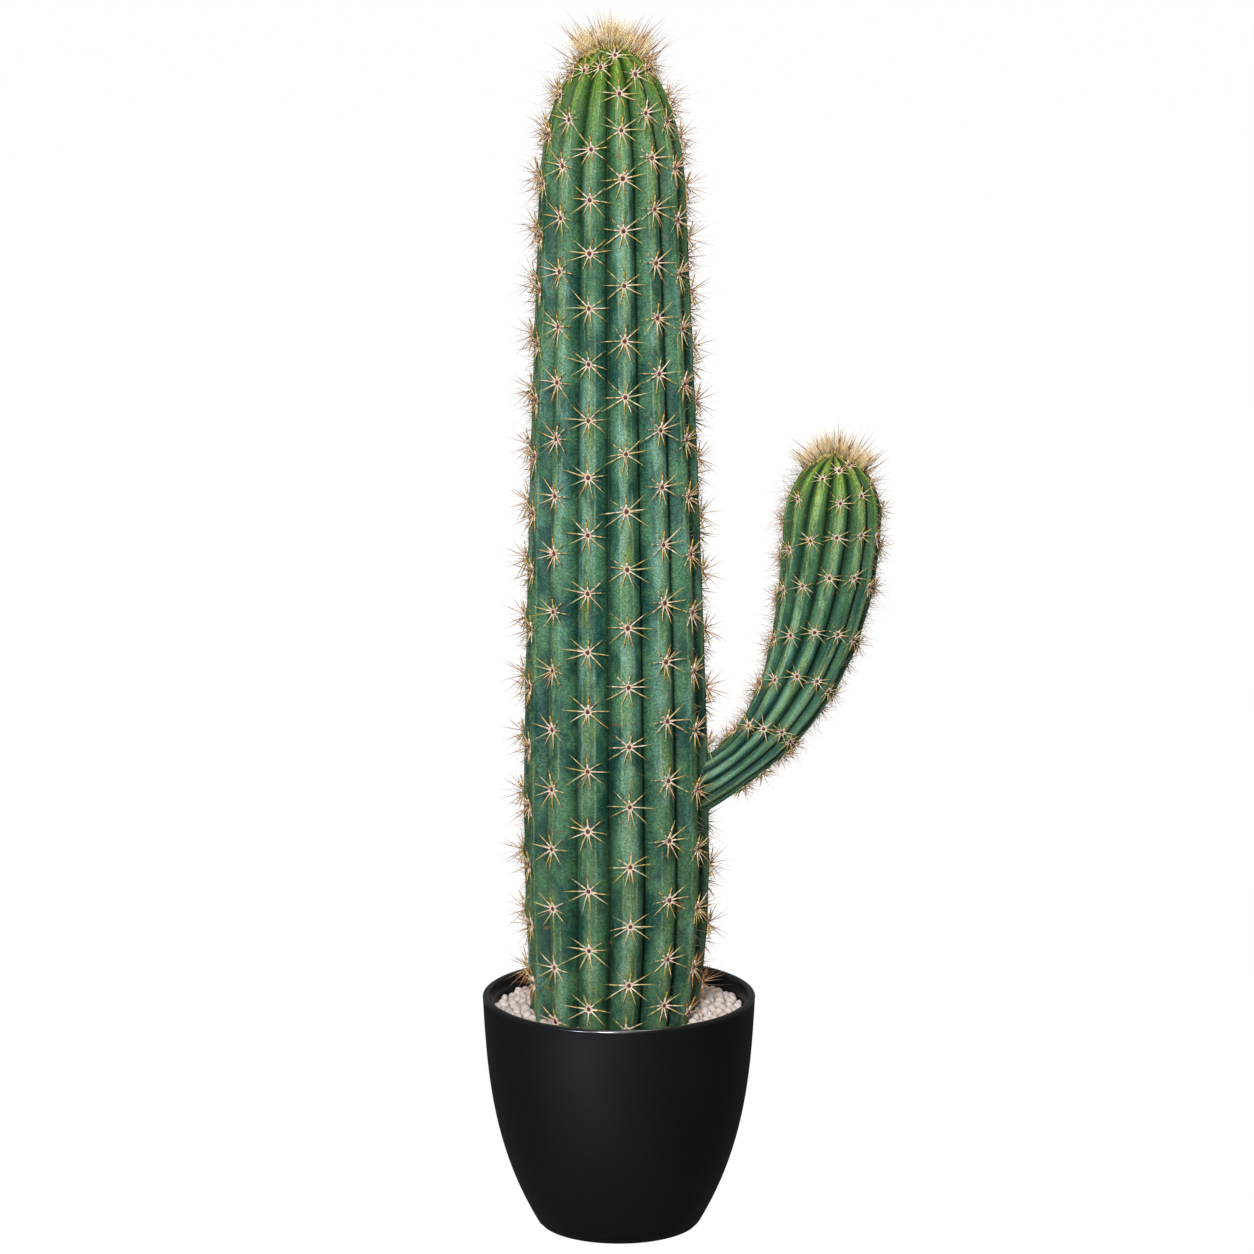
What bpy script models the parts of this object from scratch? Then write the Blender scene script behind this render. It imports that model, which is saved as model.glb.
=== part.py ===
"""Potted columnar cactus: a ribbed trunk with one arm bent upwards, in a round planter topped with gravel.

Metres, +Z up. The origin is the middle of the planter's flat underside, the camera side is -Y and the arm
grows towards +X.
"""

import random
from math import atan2, cos, pi, radians, sin, tau

import bmesh
import bpy
from mathutils import Vector, noise
from mathutils.geometry import interpolate_bezier

GAP = 0.0003  # clearance between touching pieces

# Planter
POT_HEIGHT = 0.217
POT_RIM_RADIUS = 0.125
POT_DRAFT = 0.0108  # how far the wall leans in evenly from rim to foot
POT_BULGE = 0.0408  # how far it draws in more, mostly low down
POT_BULGE_POWER = 2.9
POT_FOOT_ROUNDING = 0.002
POT_LIP_WIDTH = 0.0065
POT_LIP_ROUNDING = 0.0015
POT_WALL = 0.0085
POT_FLOOR = 0.009
POT_SEGMENTS = 56
POT_SHARP_ANGLE = radians(35)
POT_WALL_STEPS = 9
POT_STEP_POWER = 1.25  # above 1, the wall's steps crowd towards the foot

# Fill
SOIL_TOP = 0.190
GRAVEL_TOP = 0.204
GRAVEL_BUMP = 0.004
GRAVEL_ROUGHNESS = 150.0
SOIL_SEGMENTS = 28
SOIL_SIDE_HEIGHTS = (0.150, 0.100, 0.055)

# Trunk, from the flat cut at soil level to its crown
TRUNK_FOOT_Z = SOIL_TOP + GAP
TRUNK_RIBS = 14
TRUNK_FIRST_CREST = radians(8.4)
TRUNK_TIP_Z = 1.076
TRUNK_WIDEST_Z = 0.36
TRUNK_WIDEST = 0.0845
TRUNK_SHOULDER_Z = 0.955
TRUNK_SHOULDER = 0.0653
TRUNK_TAPER_POWER = 1.4
TRUNK_DOME_POWERS = (1.7, 2.8)
TRUNK_FOOT_TUCK = 0.0093
TRUNK_LEAN = -0.0062  # sideways drift of the tip
TRUNK_LEAN_POWER = 0.65
TRUNK_CROWN_Z = 1.0655
TRUNK_VALLEY = 0.81  # valley radius over crest radius
SHOULDER_SHARE = 0.80  # how much of a rib's depth its rounded flanks keep a quarter pitch off the crest

# Spine pads on the trunk: heights on the front rib, and how far each rib's pads are shifted along it
PAD_ROWS = 17
PAD_FIRST_Z = 0.2465
PAD_PITCH = 0.0518
PAD_SWELL = 0.020
PAD_CROWDING = 0.0266
PAD_CROWDING_POWER = 16
PAD_SHIFTS = (0.0, 0.38, 0.12, -0.3, 0.27, -0.08, 0.44, -0.35, 0.15, 0.4, -0.12, -0.21, 0.2, -0.42)

# Arm: a Bezier centreline that leaves the trunk low on its +X side and turns upright
ARM_CURVE = (
    Vector((0.0600, 0.0, 0.4053)),
    Vector((0.1585, 0.0, 0.4504)),
    Vector((0.1967, 0.0, 0.5502)),
    Vector((0.1932, 0.0, 0.7174)),
)
ARM_RIBS = 12
ARM_FIRST_CREST = radians(5.0)
ARM_TWIST = radians(105.0)  # how far the ribs turn in each metre of arm
ARM_TWIST_AT = 0.31  # where the first crest has its own angle
ARM_NECK_AT = 0.055
ARM_NECK = 0.0215
ARM_FOOT_FLARE = 0.0035
ARM_FULL_AT = 0.290
ARM_FULL = 0.0438
ARM_DOME_AT = 0.302
ARM_DOME_POWERS = (2.0, 2.0)
ARM_SWELL_POWER = 1.22
ARM_VALLEY = 0.84
ARM_SPLIT_AT = 0.130
ARM_SPLIT_ROWS = 2  # rows of pads below the split
ARM_ROOT_ROWS = (0.012, 0.040)
ARM_CROWN_SHORT = 0.0065  # the flat crown's distance below the curve's end
ARM_PADS = (0.058, 0.098, 0.157, 0.203, 0.251, 0.293, 0.333)
ARM_SHOULDER_AT = 0.345  # a row without pads that rounds off the crown

# The stretch of trunk that shapes the arm's foot
CUTTER_REACH = (0.30, 0.60)
CUTTER_ROWS = 20

# Spines
PAD_SIZE = 0.0032
PAD_RISE = 0.0014
SPINE_LENGTH = 0.0185
SPINE_LENGTH_ARM = 0.0150
SPINE_LIFT = radians(40.0)
SPINE_LIFT_SWING = radians(20.0)
SPINE_JITTER = 0.2
JITTER_GRAIN = 400.0
SPINE_CLEAR = 0.003  # how far a spine's tip keeps from what it must not touch
PAD_CLEAR = 0.006
TRUNK_SPINE_ZONE = 0.021  # the trunk's spines keep inside this, and the arm's outside it

# Tufts of bristles on the two crowns
TRUNK_TUFT_RADIUS = 0.033
TRUNK_TUFT_RISE = 0.014
TRUNK_TUFT_TOP = 1.1135
TRUNK_BRISTLE_SPLAY = 0.022
ARM_TUFT_RADIUS = 0.0195
ARM_TUFT_RISE = 0.010
ARM_TUFT_TOP = 0.7415
ARM_BRISTLE_SPLAY = 0.020
BRISTLE_LEAN = 1.5  # how far the outermost bristles lean from upright, in radians
BRISTLE_JITTER = 0.2

COLUMNS_PER_RIB = 4
TRUNK_COLUMNS = TRUNK_RIBS * COLUMNS_PER_RIB
ARM_COLUMNS = ARM_RIBS * COLUMNS_PER_RIB


def material(name, colour, roughness):
    made = bpy.data.materials.new(name)
    made.use_nodes = True
    shader = made.node_tree.nodes["Principled BSDF"]
    shader.inputs["Base Color"].default_value = (*colour, 1.0)
    shader.inputs["Roughness"].default_value = roughness
    shader.inputs["Metallic"].default_value = 0.0
    return made


def finish_object(name, bm, finish, smooth_below=None):
    """Turns a bmesh into a named object with one material."""
    bmesh.ops.triangulate(bm, faces=bm.faces)
    bmesh.ops.recalc_face_normals(bm, faces=bm.faces)
    mesh = bpy.data.meshes.new(name)
    bm.to_mesh(mesh)
    bm.free()
    mesh.materials.append(finish)
    if smooth_below is not None:
        mesh.shade_smooth()
        mesh.set_sharp_from_angle(angle=smooth_below)
    placed = bpy.data.objects.new(name, mesh)
    bpy.context.collection.objects.link(placed)
    return placed


# Planter and fill


def pot_outer_radius(z):
    """The planter's bulged wall: an even lean, and a curve that tucks in towards the foot."""
    below_rim = 1 - z / POT_HEIGHT
    return POT_RIM_RADIUS - POT_DRAFT * below_rim - POT_BULGE * below_rim ** POT_BULGE_POWER


def pot_inner_radius(z):
    return pot_outer_radius(z) - POT_WALL


def turned(profile, segments):
    """Spins (radius, height) points about the Z axis; the profile starts and ends on the axis."""
    bm = bmesh.new()
    points = [bm.verts.new((radius, 0.0, z)) for radius, z in profile]
    edges = [bm.edges.new(pair) for pair in zip(points, points[1:])]
    bmesh.ops.spin(
        bm, geom=points + edges, axis=(0, 0, 1), cent=(0, 0, 0), angle=tau, steps=segments, use_merge=True
    )
    bmesh.ops.remove_doubles(bm, verts=bm.verts, dist=1e-6)
    return bm


def build_pot(finish):
    heights = [POT_FOOT_ROUNDING]
    heights += [POT_HEIGHT * (step / POT_WALL_STEPS) ** POT_STEP_POWER for step in range(1, POT_WALL_STEPS)]
    outer = [(pot_outer_radius(0.0) - POT_FOOT_ROUNDING, 0.0)]
    outer += [(pot_outer_radius(z), z) for z in heights]
    outer += [
        (POT_RIM_RADIUS, POT_HEIGHT - POT_LIP_ROUNDING),
        (POT_RIM_RADIUS - POT_LIP_ROUNDING, POT_HEIGHT),
        (POT_RIM_RADIUS - POT_LIP_WIDTH + POT_LIP_ROUNDING, POT_HEIGHT),
        (POT_RIM_RADIUS - POT_LIP_WIDTH, POT_HEIGHT - POT_LIP_ROUNDING),
    ]
    inner = [(pot_inner_radius(z), z) for z in (GRAVEL_TOP, SOIL_TOP, *SOIL_SIDE_HEIGHTS, POT_FLOOR)]
    profile = [(0.0, 0.0)] + outer + inner + [(0.0, POT_FLOOR)]
    bm = turned(profile, POT_SEGMENTS)
    return finish_object("pot", bm, finish, smooth_below=POT_SHARP_ANGLE)


def build_soil(finish):
    side = [(pot_inner_radius(z) - 2 * GAP, z) for z in (SOIL_TOP, *SOIL_SIDE_HEIGHTS, POT_FLOOR + GAP)]
    profile = [(0.0, SOIL_TOP)] + side + [(0.0, POT_FLOOR + GAP)]
    bm = turned(profile, SOIL_SEGMENTS)
    return finish_object("soil", bm, finish)


def build_gravel(finish):
    """A ring of gravel between the ribbed foot of the trunk and the planter's wall, with an uneven top."""
    low, high = SOIL_TOP + GAP, GRAVEL_TOP
    shares = {"foot": 0.0, "quarter": 0.25, "half": 0.5, "most": 0.78, "wall": 1.0}
    rings = [("foot", low), *((place, high) for place in shares), ("wall", low)]
    bm = bmesh.new()
    bmesh.ops.create_grid(bm, x_segments=TRUNK_COLUMNS, y_segments=len(rings) - 1, size=0.5)
    for vert in bm.verts:
        column = round((vert.co.x + 0.5) * TRUNK_COLUMNS) % TRUNK_COLUMNS
        place, z = rings[round((vert.co.y + 0.5) * (len(rings) - 1))]
        angle = column_angle(column, TRUNK_RIBS, TRUNK_FIRST_CREST)
        foot = trunk_point(column, high)
        inner = foot.xy.length + 3 * GAP
        outer = (pot_inner_radius(min(z, high - GRAVEL_BUMP)) - 2 * GAP) * cos(pi / POT_SEGMENTS)
        radius = inner + (outer - inner) * shares[place]
        direction = foot.xy.normalized() if place == "foot" else Vector((sin(angle), -cos(angle)))
        spot = direction.to_3d() * radius
        level = z + GRAVEL_BUMP * noise.noise(spot * GRAVEL_ROUGHNESS) if z == high else z
        vert.co = (spot.x, spot.y, level)
    bmesh.ops.remove_doubles(bm, verts=bm.verts, dist=1e-6)
    open_edges = [edge for edge in bm.edges if edge.is_boundary]
    bmesh.ops.bridge_loops(bm, edges=open_edges)
    return finish_object("gravel", bm, finish)


# Ribbed stems


def column_angle(column, ribs, first_crest):
    return first_crest + tau * column / (ribs * COLUMNS_PER_RIB)


def rib_section(column, crest, valley):
    """Radius of one column of the section: crest, flank, valley, flank, and so on round the stem."""
    place = column % COLUMNS_PER_RIB
    depth = crest * (1 - valley)
    return crest - depth * (0.0, 1 - SHOULDER_SHARE, 1.0, 1 - SHOULDER_SHARE)[place]


def superellipse(share, power, root):
    return max(0.0, 1 - share ** power) ** (1 / root)


def trunk_crest(z):
    if z > TRUNK_SHOULDER_Z:
        share = (z - TRUNK_SHOULDER_Z) / (TRUNK_TIP_Z - TRUNK_SHOULDER_Z)
        return TRUNK_SHOULDER * superellipse(share, *TRUNK_DOME_POWERS)
    if z > TRUNK_WIDEST_Z:
        share = (z - TRUNK_WIDEST_Z) / (TRUNK_SHOULDER_Z - TRUNK_WIDEST_Z)
        return TRUNK_WIDEST - (TRUNK_WIDEST - TRUNK_SHOULDER) * share ** TRUNK_TAPER_POWER
    share = (TRUNK_WIDEST_Z - z) / (TRUNK_WIDEST_Z - TRUNK_FOOT_Z)
    return TRUNK_WIDEST - TRUNK_FOOT_TUCK * share ** 2


def trunk_axis(z):
    share = max(0.0, z - TRUNK_FOOT_Z) / (TRUNK_TIP_Z - TRUNK_FOOT_Z)
    return Vector((TRUNK_LEAN * share ** TRUNK_LEAN_POWER, 0.0, z))


def trunk_point(column, z, swell=0.0):
    angle = column_angle(column, TRUNK_RIBS, TRUNK_FIRST_CREST)
    radius = rib_section(column, trunk_crest(z), TRUNK_VALLEY) + swell
    return trunk_axis(z) + Vector((sin(angle) * radius, -cos(angle) * radius, 0.0))


def pad_height(row):
    """Height of a pad on the trunk; fractional rows belong to ribs whose pads are shifted."""
    swell = PAD_SWELL * sin(pi * row / (PAD_ROWS - 1))
    crowding = PAD_CROWDING * (max(row, 0) / (PAD_ROWS - 1)) ** PAD_CROWDING_POWER
    return PAD_FIRST_Z + PAD_PITCH * row + swell - crowding


def trunk_row_height(column, row):
    """Rows follow each rib's own pads on its crest, half a row higher on the flanks, and blend between."""
    rib, place = divmod(column % TRUNK_COLUMNS, COLUMNS_PER_RIB)
    last_row = PAD_ROWS + 1
    if row == 0:
        return TRUNK_FOOT_Z
    if row == last_row:
        return TRUNK_CROWN_Z

    def crest_height(which_rib, which_row):
        if which_row == last_row:
            return TRUNK_CROWN_Z
        return pad_height(which_row - 1 + PAD_SHIFTS[which_rib % TRUNK_RIBS])

    if place == 0:
        return crest_height(rib, row)
    if place == 2:
        return (crest_height(rib, row) + crest_height(rib + 1, row)) / 2
    near = rib if place == 1 else rib + 1
    return (crest_height(near, row) + crest_height(near, row + 1)) / 2


def column_grid(columns, rows, point):
    """A tube from a grid: point(column, row) places it, and its diagonals meet on crests and in valleys."""
    bm = bmesh.new()
    bmesh.ops.create_grid(bm, x_segments=columns, y_segments=rows, size=0.5)
    places = {}
    for vert in bm.verts:
        column = round((vert.co.x + 0.5) * columns)
        row = round((vert.co.y + 0.5) * rows)
        places[vert] = (column, row)
        vert.co = point(column % columns, row)
    for face in list(bm.faces):
        corners = sorted(face.verts, key=lambda vert: places[vert])
        left_low, left_high, right_low, right_high = corners
        crest_on_left = places[left_low][0] % 2 == 0
        ends = (left_high, right_low) if crest_on_left else (left_low, right_high)
        bmesh.utils.face_split(face, *ends)
    crests = {}
    for vert, (column, row) in places.items():
        if column % COLUMNS_PER_RIB == 0 and column < columns:
            crests[column // COLUMNS_PER_RIB, row] = vert.co.copy()
    bmesh.ops.remove_doubles(bm, verts=bm.verts, dist=1e-6)
    rims = [edge for edge in bm.edges if edge.is_boundary]
    bmesh.ops.holes_fill(bm, edges=rims, sides=0)
    return bm, crests


def grow_spines(bm, pads, length, blocked):
    """Cuts a six-sided pad at each crest point and draws six spines out of it, high and low by turns. Each
    spine is varied by its place, so that the order in which the bevel gives its faces doesn't matter."""
    chosen = []
    for vert in bm.verts:
        if any((vert.co - pad).length < 1e-5 for pad in pads):
            chosen.append(vert)
    cut = bmesh.ops.bevel(
        bm, geom=chosen, offset=PAD_SIZE, offset_type="OFFSET", segments=1, profile=0.5, affect="VERTICES",
        material=-1,
    )
    faces = [face for face in cut["faces"] if len(face.verts) == 6]
    bm.normal_update()
    flats = [(face.calc_center_median(), face.normal.copy()) for face in faces]
    poked = bmesh.ops.poke(bm, faces=faces)
    centres = {}
    for vert in poked["verts"]:
        normal = min(flats, key=lambda flat: (flat[0] - vert.co).length)[1]
        centres[vert] = normal
        vert.co += normal * PAD_RISE
    tips = bmesh.ops.poke(bm, faces=poked["faces"])["verts"]
    for tip in tips:
        middle = next(edge.other_vert(tip) for edge in tip.link_edges if edge.other_vert(tip) in centres)
        normal = centres[middle]
        outward = tip.co - middle.co
        outward = (outward - normal * outward.dot(normal)).normalized()
        side = normal.cross(Vector((0, 0, 1))).normalized()
        turn = atan2(outward.dot(side), outward.dot(side.cross(normal)))
        wobble = SPINE_JITTER * noise.noise(tip.co * JITTER_GRAIN)
        stretch = SPINE_JITTER * noise.noise(tip.co * -JITTER_GRAIN)
        lift = SPINE_LIFT + SPINE_LIFT_SWING * sin(3 * turn) + wobble
        reach = length * (1 + stretch)
        end = middle.co + (outward * cos(lift) + normal * sin(lift)) * reach
        if not blocked(end):
            tip.co = end


def arm_reach(point):
    """How far a point lies outside the arm's crest line; negative inside."""
    nearest = min(range(len(ARM_PATH)), key=lambda index: (ARM_PATH[index] - point).length)
    return (ARM_PATH[nearest] - point).length - arm_crest(ARM_LENGTHS[nearest])


def trunk_reach(point):
    axis = trunk_axis(point.z)
    return (point.xy - axis.xy).length - trunk_crest(min(point.z, TRUNK_SHOULDER_Z))


def build_trunk(finish):
    """The ribbed trunk with its pads and spines, which keep clear of the gravel, the arm and the tuft."""
    last_row = PAD_ROWS + 1

    def place(column, row):
        return trunk_point(column, trunk_row_height(column, row))

    bm, crests = column_grid(TRUNK_COLUMNS, last_row, place)
    rows = {key: point for key, point in crests.items() if 0 < key[1] < last_row}
    pads = [point for point in rows.values() if arm_reach(point) > PAD_CLEAR]

    def blocked(end):
        near_gravel = end.z < GRAVEL_TOP + SPINE_CLEAR
        under_tuft = end.z > TRUNK_CROWN_Z - SPINE_CLEAR
        out_of_zone = trunk_reach(end) > TRUNK_SPINE_ZONE
        return near_gravel or under_tuft or out_of_zone or arm_reach(end) < SPINE_CLEAR

    grow_spines(bm, pads, SPINE_LENGTH, blocked)
    return finish_object("trunk", bm, finish)


# Arm


def arm_samples(count=400):
    points = interpolate_bezier(*ARM_CURVE, count)
    lengths = [0.0]
    for before, after in zip(points, points[1:]):
        lengths.append(lengths[-1] + (after - before).length)
    return points, lengths


ARM_PATH, ARM_LENGTHS = arm_samples()
ARM_LENGTH = ARM_LENGTHS[-1]


def arm_frame(along):
    """Point and unit tangent on the arm's centreline at a distance along it."""
    index = max(1, next((i for i, length in enumerate(ARM_LENGTHS) if length >= along), len(ARM_LENGTHS) - 1))
    before, after = ARM_PATH[index - 1], ARM_PATH[index]
    share = (along - ARM_LENGTHS[index - 1]) / (ARM_LENGTHS[index] - ARM_LENGTHS[index - 1])
    behind, ahead = ARM_PATH[max(index - 4, 0)], ARM_PATH[min(index + 3, len(ARM_PATH) - 1)]
    return before.lerp(after, share), (ahead - behind).normalized()


def arm_crest(along):
    if along > ARM_DOME_AT:
        return ARM_FULL * superellipse((along - ARM_DOME_AT) / (ARM_LENGTH - ARM_DOME_AT), *ARM_DOME_POWERS)
    if along > ARM_NECK_AT:
        share = min((along - ARM_NECK_AT) / (ARM_FULL_AT - ARM_NECK_AT), 1.0)
        return ARM_NECK + (ARM_FULL - ARM_NECK) * sin(pi / 2 * share) ** ARM_SWELL_POWER
    return ARM_NECK + ARM_FOOT_FLARE * (1 - along / ARM_NECK_AT) ** 2


def arm_point(column, along):
    """The section's front is -Y, and its +X side turns down towards the foot as the arm bends."""
    centre, tangent = arm_frame(along)
    angle = column_angle(column, ARM_RIBS, ARM_FIRST_CREST) + ARM_TWIST * (along - ARM_TWIST_AT)
    radius = rib_section(column, arm_crest(along), ARM_VALLEY)
    across = Vector((tangent.z, 0.0, -tangent.x))
    return centre + across * (sin(angle) * radius) + Vector((0.0, -cos(angle) * radius, 0.0))


def arm_row_at(column, row, rows):
    """Even columns take the row's own station and the flanks half a step more, except at the cut ends."""
    if row in (0, len(rows) - 1) or column % 2 == 0:
        return rows[row]
    return (rows[row] + rows[row + 1]) / 2


def arm_piece(rows, pad_rows):
    def place(column, row):
        return arm_point(column, arm_row_at(column, row, rows))

    bm, crests = column_grid(ARM_COLUMNS, len(rows) - 1, place)

    def wanted(point, row):
        return row in pad_rows and trunk_reach(point) > TRUNK_SPINE_ZONE / 2

    pads = [point for (rib, row), point in crests.items() if wanted(point, row)]

    def blocked(end):
        return trunk_reach(end) < TRUNK_SPINE_ZONE + SPINE_CLEAR or end.z > ARM_TUFT_BASE - SPINE_CLEAR

    grow_spines(bm, pads, SPINE_LENGTH_ARM, blocked)
    return bm


ARM_CROWN_AT = ARM_LENGTH - ARM_CROWN_SHORT
ARM_TUFT_BASE = arm_frame(ARM_CROWN_AT)[0].z


def trunk_cutter():
    """The plain trunk, swelled by the clearance, that shapes the arm's foot."""
    low, high = CUTTER_REACH

    def place(column, row):
        return trunk_point(column, low + (high - low) * row / CUTTER_ROWS, 2 * GAP)

    bm, _ = column_grid(TRUNK_COLUMNS, CUTTER_ROWS, place)
    cutter = finish_object("trunk_cutter", bm, bpy.data.materials.new("cutter"))
    cutter.hide_render = True
    cutter.display_type = "WIRE"
    return cutter


def with_halves(stations):
    """The stations, and the places halfway between them."""
    halves = [(low + high) / 2 for low, high in zip(stations, stations[1:])]
    return sorted([*stations, *halves])


def build_arm(finish):
    """Two pieces that meet at the bend; the trunk shapes the lower one's foot."""
    low_pads, high_pads = ARM_PADS[:ARM_SPLIT_ROWS], ARM_PADS[ARM_SPLIT_ROWS:]
    lower_rows = [*ARM_ROOT_ROWS, *with_halves(low_pads), ARM_SPLIT_AT - GAP / 2]
    upper_rows = [ARM_SPLIT_AT + GAP / 2, *with_halves(high_pads), ARM_SHOULDER_AT, ARM_CROWN_AT]
    lower_pads = {lower_rows.index(station) for station in low_pads}
    upper_pads = {upper_rows.index(station) for station in high_pads}
    lower = finish_object("arm_lower", arm_piece(lower_rows, lower_pads), finish)
    cut = lower.modifiers.new("foot", "BOOLEAN")
    cut.object = trunk_cutter()
    cut.operation = "DIFFERENCE"
    finish_object("arm_upper", arm_piece(upper_rows, upper_pads), finish)


# Tufts


def build_tuft(name, finish, base, radius, rise, top, splay, around, rings, seed):
    """A flat-bottomed mound whose faces are each drawn out into four bristles, upright in the middle and
    splayed at the edge."""
    rng = random.Random(seed)
    bm = bmesh.new()
    bmesh.ops.create_grid(bm, x_segments=around, y_segments=rings, size=0.5)
    for vert in bm.verts:
        turn = tau * (vert.co.x + 0.5)
        climb = pi / 2 * (vert.co.y + 0.5)
        out = radius * cos(climb)
        vert.co = (out * sin(turn), -out * cos(turn), rise * sin(climb))
    bmesh.ops.remove_doubles(bm, verts=bm.verts, dist=1e-6)
    sides = list(bm.faces)
    rim = [edge for edge in bm.edges if edge.is_boundary]
    bmesh.ops.holes_fill(bm, edges=rim, sides=0)
    bmesh.ops.recalc_face_normals(bm, faces=bm.faces)
    quarters = bmesh.ops.poke(bm, faces=sides)["faces"]
    tips = bmesh.ops.poke(bm, faces=quarters)["verts"]
    height = top - base.z
    for tip in tips:
        share = min(1.0, tip.co.xy.length / radius)
        lean = BRISTLE_LEAN * share ** 1.3
        turn = atan2(tip.co.x, -tip.co.y) + rng.uniform(-1, 1) * BRISTLE_JITTER
        reach = (height - tip.co.z) * (1 - share) + splay * share
        reach *= 1 - rng.uniform(0.0, 1.0) * BRISTLE_JITTER
        tip.co += Vector((sin(lean) * sin(turn), -sin(lean) * cos(turn), cos(lean))) * reach
    crown = max(tips, key=lambda tip: tip.co.z)
    crown.co.z = height
    bmesh.ops.translate(bm, verts=bm.verts, vec=base)
    return finish_object(name, bm, finish)


def build_tufts(finish):
    trunk_base = trunk_axis(TRUNK_CROWN_Z) + Vector((0, 0, GAP))
    build_tuft(
        "trunk_tuft", finish, trunk_base, TRUNK_TUFT_RADIUS, TRUNK_TUFT_RISE, TRUNK_TUFT_TOP,
        TRUNK_BRISTLE_SPLAY, around=16, rings=3, seed=21,
    )
    arm_base = arm_frame(ARM_CROWN_AT)[0] + Vector((0, 0, 2 * GAP))
    build_tuft(
        "arm_tuft", finish, arm_base, ARM_TUFT_RADIUS, ARM_TUFT_RISE, ARM_TUFT_TOP,
        ARM_BRISTLE_SPLAY, around=12, rings=2, seed=22,
    )


def main():
    for old in list(bpy.data.objects):
        bpy.data.objects.remove(old, do_unlink=True)
    skin = material("cactus_skin", (0.035, 0.13, 0.065), 0.5)
    build_pot(material("black_planter", (0.012, 0.012, 0.013), 0.42))
    build_soil(material("potting_mix", (0.045, 0.03, 0.02), 0.95))
    build_gravel(material("white_gravel", (0.72, 0.68, 0.62), 0.8))
    build_trunk(skin)
    build_arm(skin)
    build_tufts(material("bristles", (0.60, 0.46, 0.27), 0.7))


main()
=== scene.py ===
"""The looks of a potted cactus: ribbed skin, spine stars, bristly crowns, pebbles and a black planter.

Metres, +Z up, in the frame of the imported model: the origin is the middle of the planter's underside, the
camera side is -Y and the arm grows towards +X.
"""

from collections import namedtuple
from math import cos, pi, radians, sin, tau
from typing import Callable, NamedTuple

import bmesh
import bpy
import numpy as np
from mathutils import Matrix, Vector, noise
from mathutils.geometry import interpolate_bezier


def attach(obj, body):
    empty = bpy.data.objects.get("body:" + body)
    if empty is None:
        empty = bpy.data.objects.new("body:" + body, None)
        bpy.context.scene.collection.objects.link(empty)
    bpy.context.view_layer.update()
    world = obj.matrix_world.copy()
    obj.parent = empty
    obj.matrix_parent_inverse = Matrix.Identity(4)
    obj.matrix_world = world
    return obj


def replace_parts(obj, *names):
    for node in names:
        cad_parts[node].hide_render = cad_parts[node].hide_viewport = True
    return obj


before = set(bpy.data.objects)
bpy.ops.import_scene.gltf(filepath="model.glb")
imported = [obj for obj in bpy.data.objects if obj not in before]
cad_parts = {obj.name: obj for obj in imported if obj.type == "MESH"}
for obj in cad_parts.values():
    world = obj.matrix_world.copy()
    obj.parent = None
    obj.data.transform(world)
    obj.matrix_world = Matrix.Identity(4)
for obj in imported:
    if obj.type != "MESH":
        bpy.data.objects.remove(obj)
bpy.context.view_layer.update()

# Planter and fill, as in the solids
POT_HEIGHT = 0.217
POT_RIM_RADIUS = 0.125
POT_DRAFT = 0.0108
POT_BULGE = 0.0408
POT_BULGE_POWER = 2.9
POT_WALL = 0.0085
POT_FLOOR = 0.009
SOIL_TOP = 0.190
GRAVEL_TOP = 0.204

# Trunk, as in the solids
TRUNK_FOOT_Z = 0.1903
TRUNK_TIP_Z = 1.076
TRUNK_TOP_Z = 1.085  # the skin rises a little further inside the tuft
TRUNK_WIDEST_Z = 0.36
TRUNK_WIDEST = 0.0845
TRUNK_SHOULDER_Z = 0.955
TRUNK_SHOULDER = 0.0653
TRUNK_TAPER_POWER = 1.4
TRUNK_DOME_POWERS = (1.75, 2.3)
TRUNK_FOOT_TUCK = 0.0093
TRUNK_LEAN = -0.0062
TRUNK_LEAN_POWER = 0.65

# Pads on the trunk, as in the solids
PAD_ROWS = 17
PAD_FIRST_Z = 0.2465
PAD_PITCH = 0.0518
PAD_SWELL = 0.020
PAD_CROWDING = 0.0266
PAD_CROWDING_POWER = 16
PAD_SHIFTS = (0.0, 0.38, 0.12, -0.3, 0.27, -0.08, 0.44, -0.35, 0.15, 0.4, -0.12, -0.21, 0.2, -0.42)
LOW_PAD_RISES = (0.012,) * 12 + (0.004, 0.012)  # a half-buried row sits this much higher, rib by rib
LOWEST_PADS = (0.2020, 0.2200)  # heights below which the gravel buries a pad: at the front, and elsewhere
PAD_CLEAR = 0.006  # how far a trunk's pad keeps from the arm's crests
ARM_PAD_CLEAR = 0.0105  # how far an arm's pad keeps from the trunk's skin
TRUNK_CROWN_PADS = (1.0795, 1.0640, 1.0665, 1.0700, 1.0675)  # heights of a last row, rib by rib in turn
CROWN_PAD_SPACING = 0.016  # a pad nearer than this to one of a crown's rows gives way to it
PAD_GAP = (13, 16)  # the rib and row of a pad that is missing
FRONT = 0.5  # a rib is at the front where the cosine of its angle is larger
TRUNK_FOOT_SHIFT = 0.0055  # the foot of the trunk leans back towards -X

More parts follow.
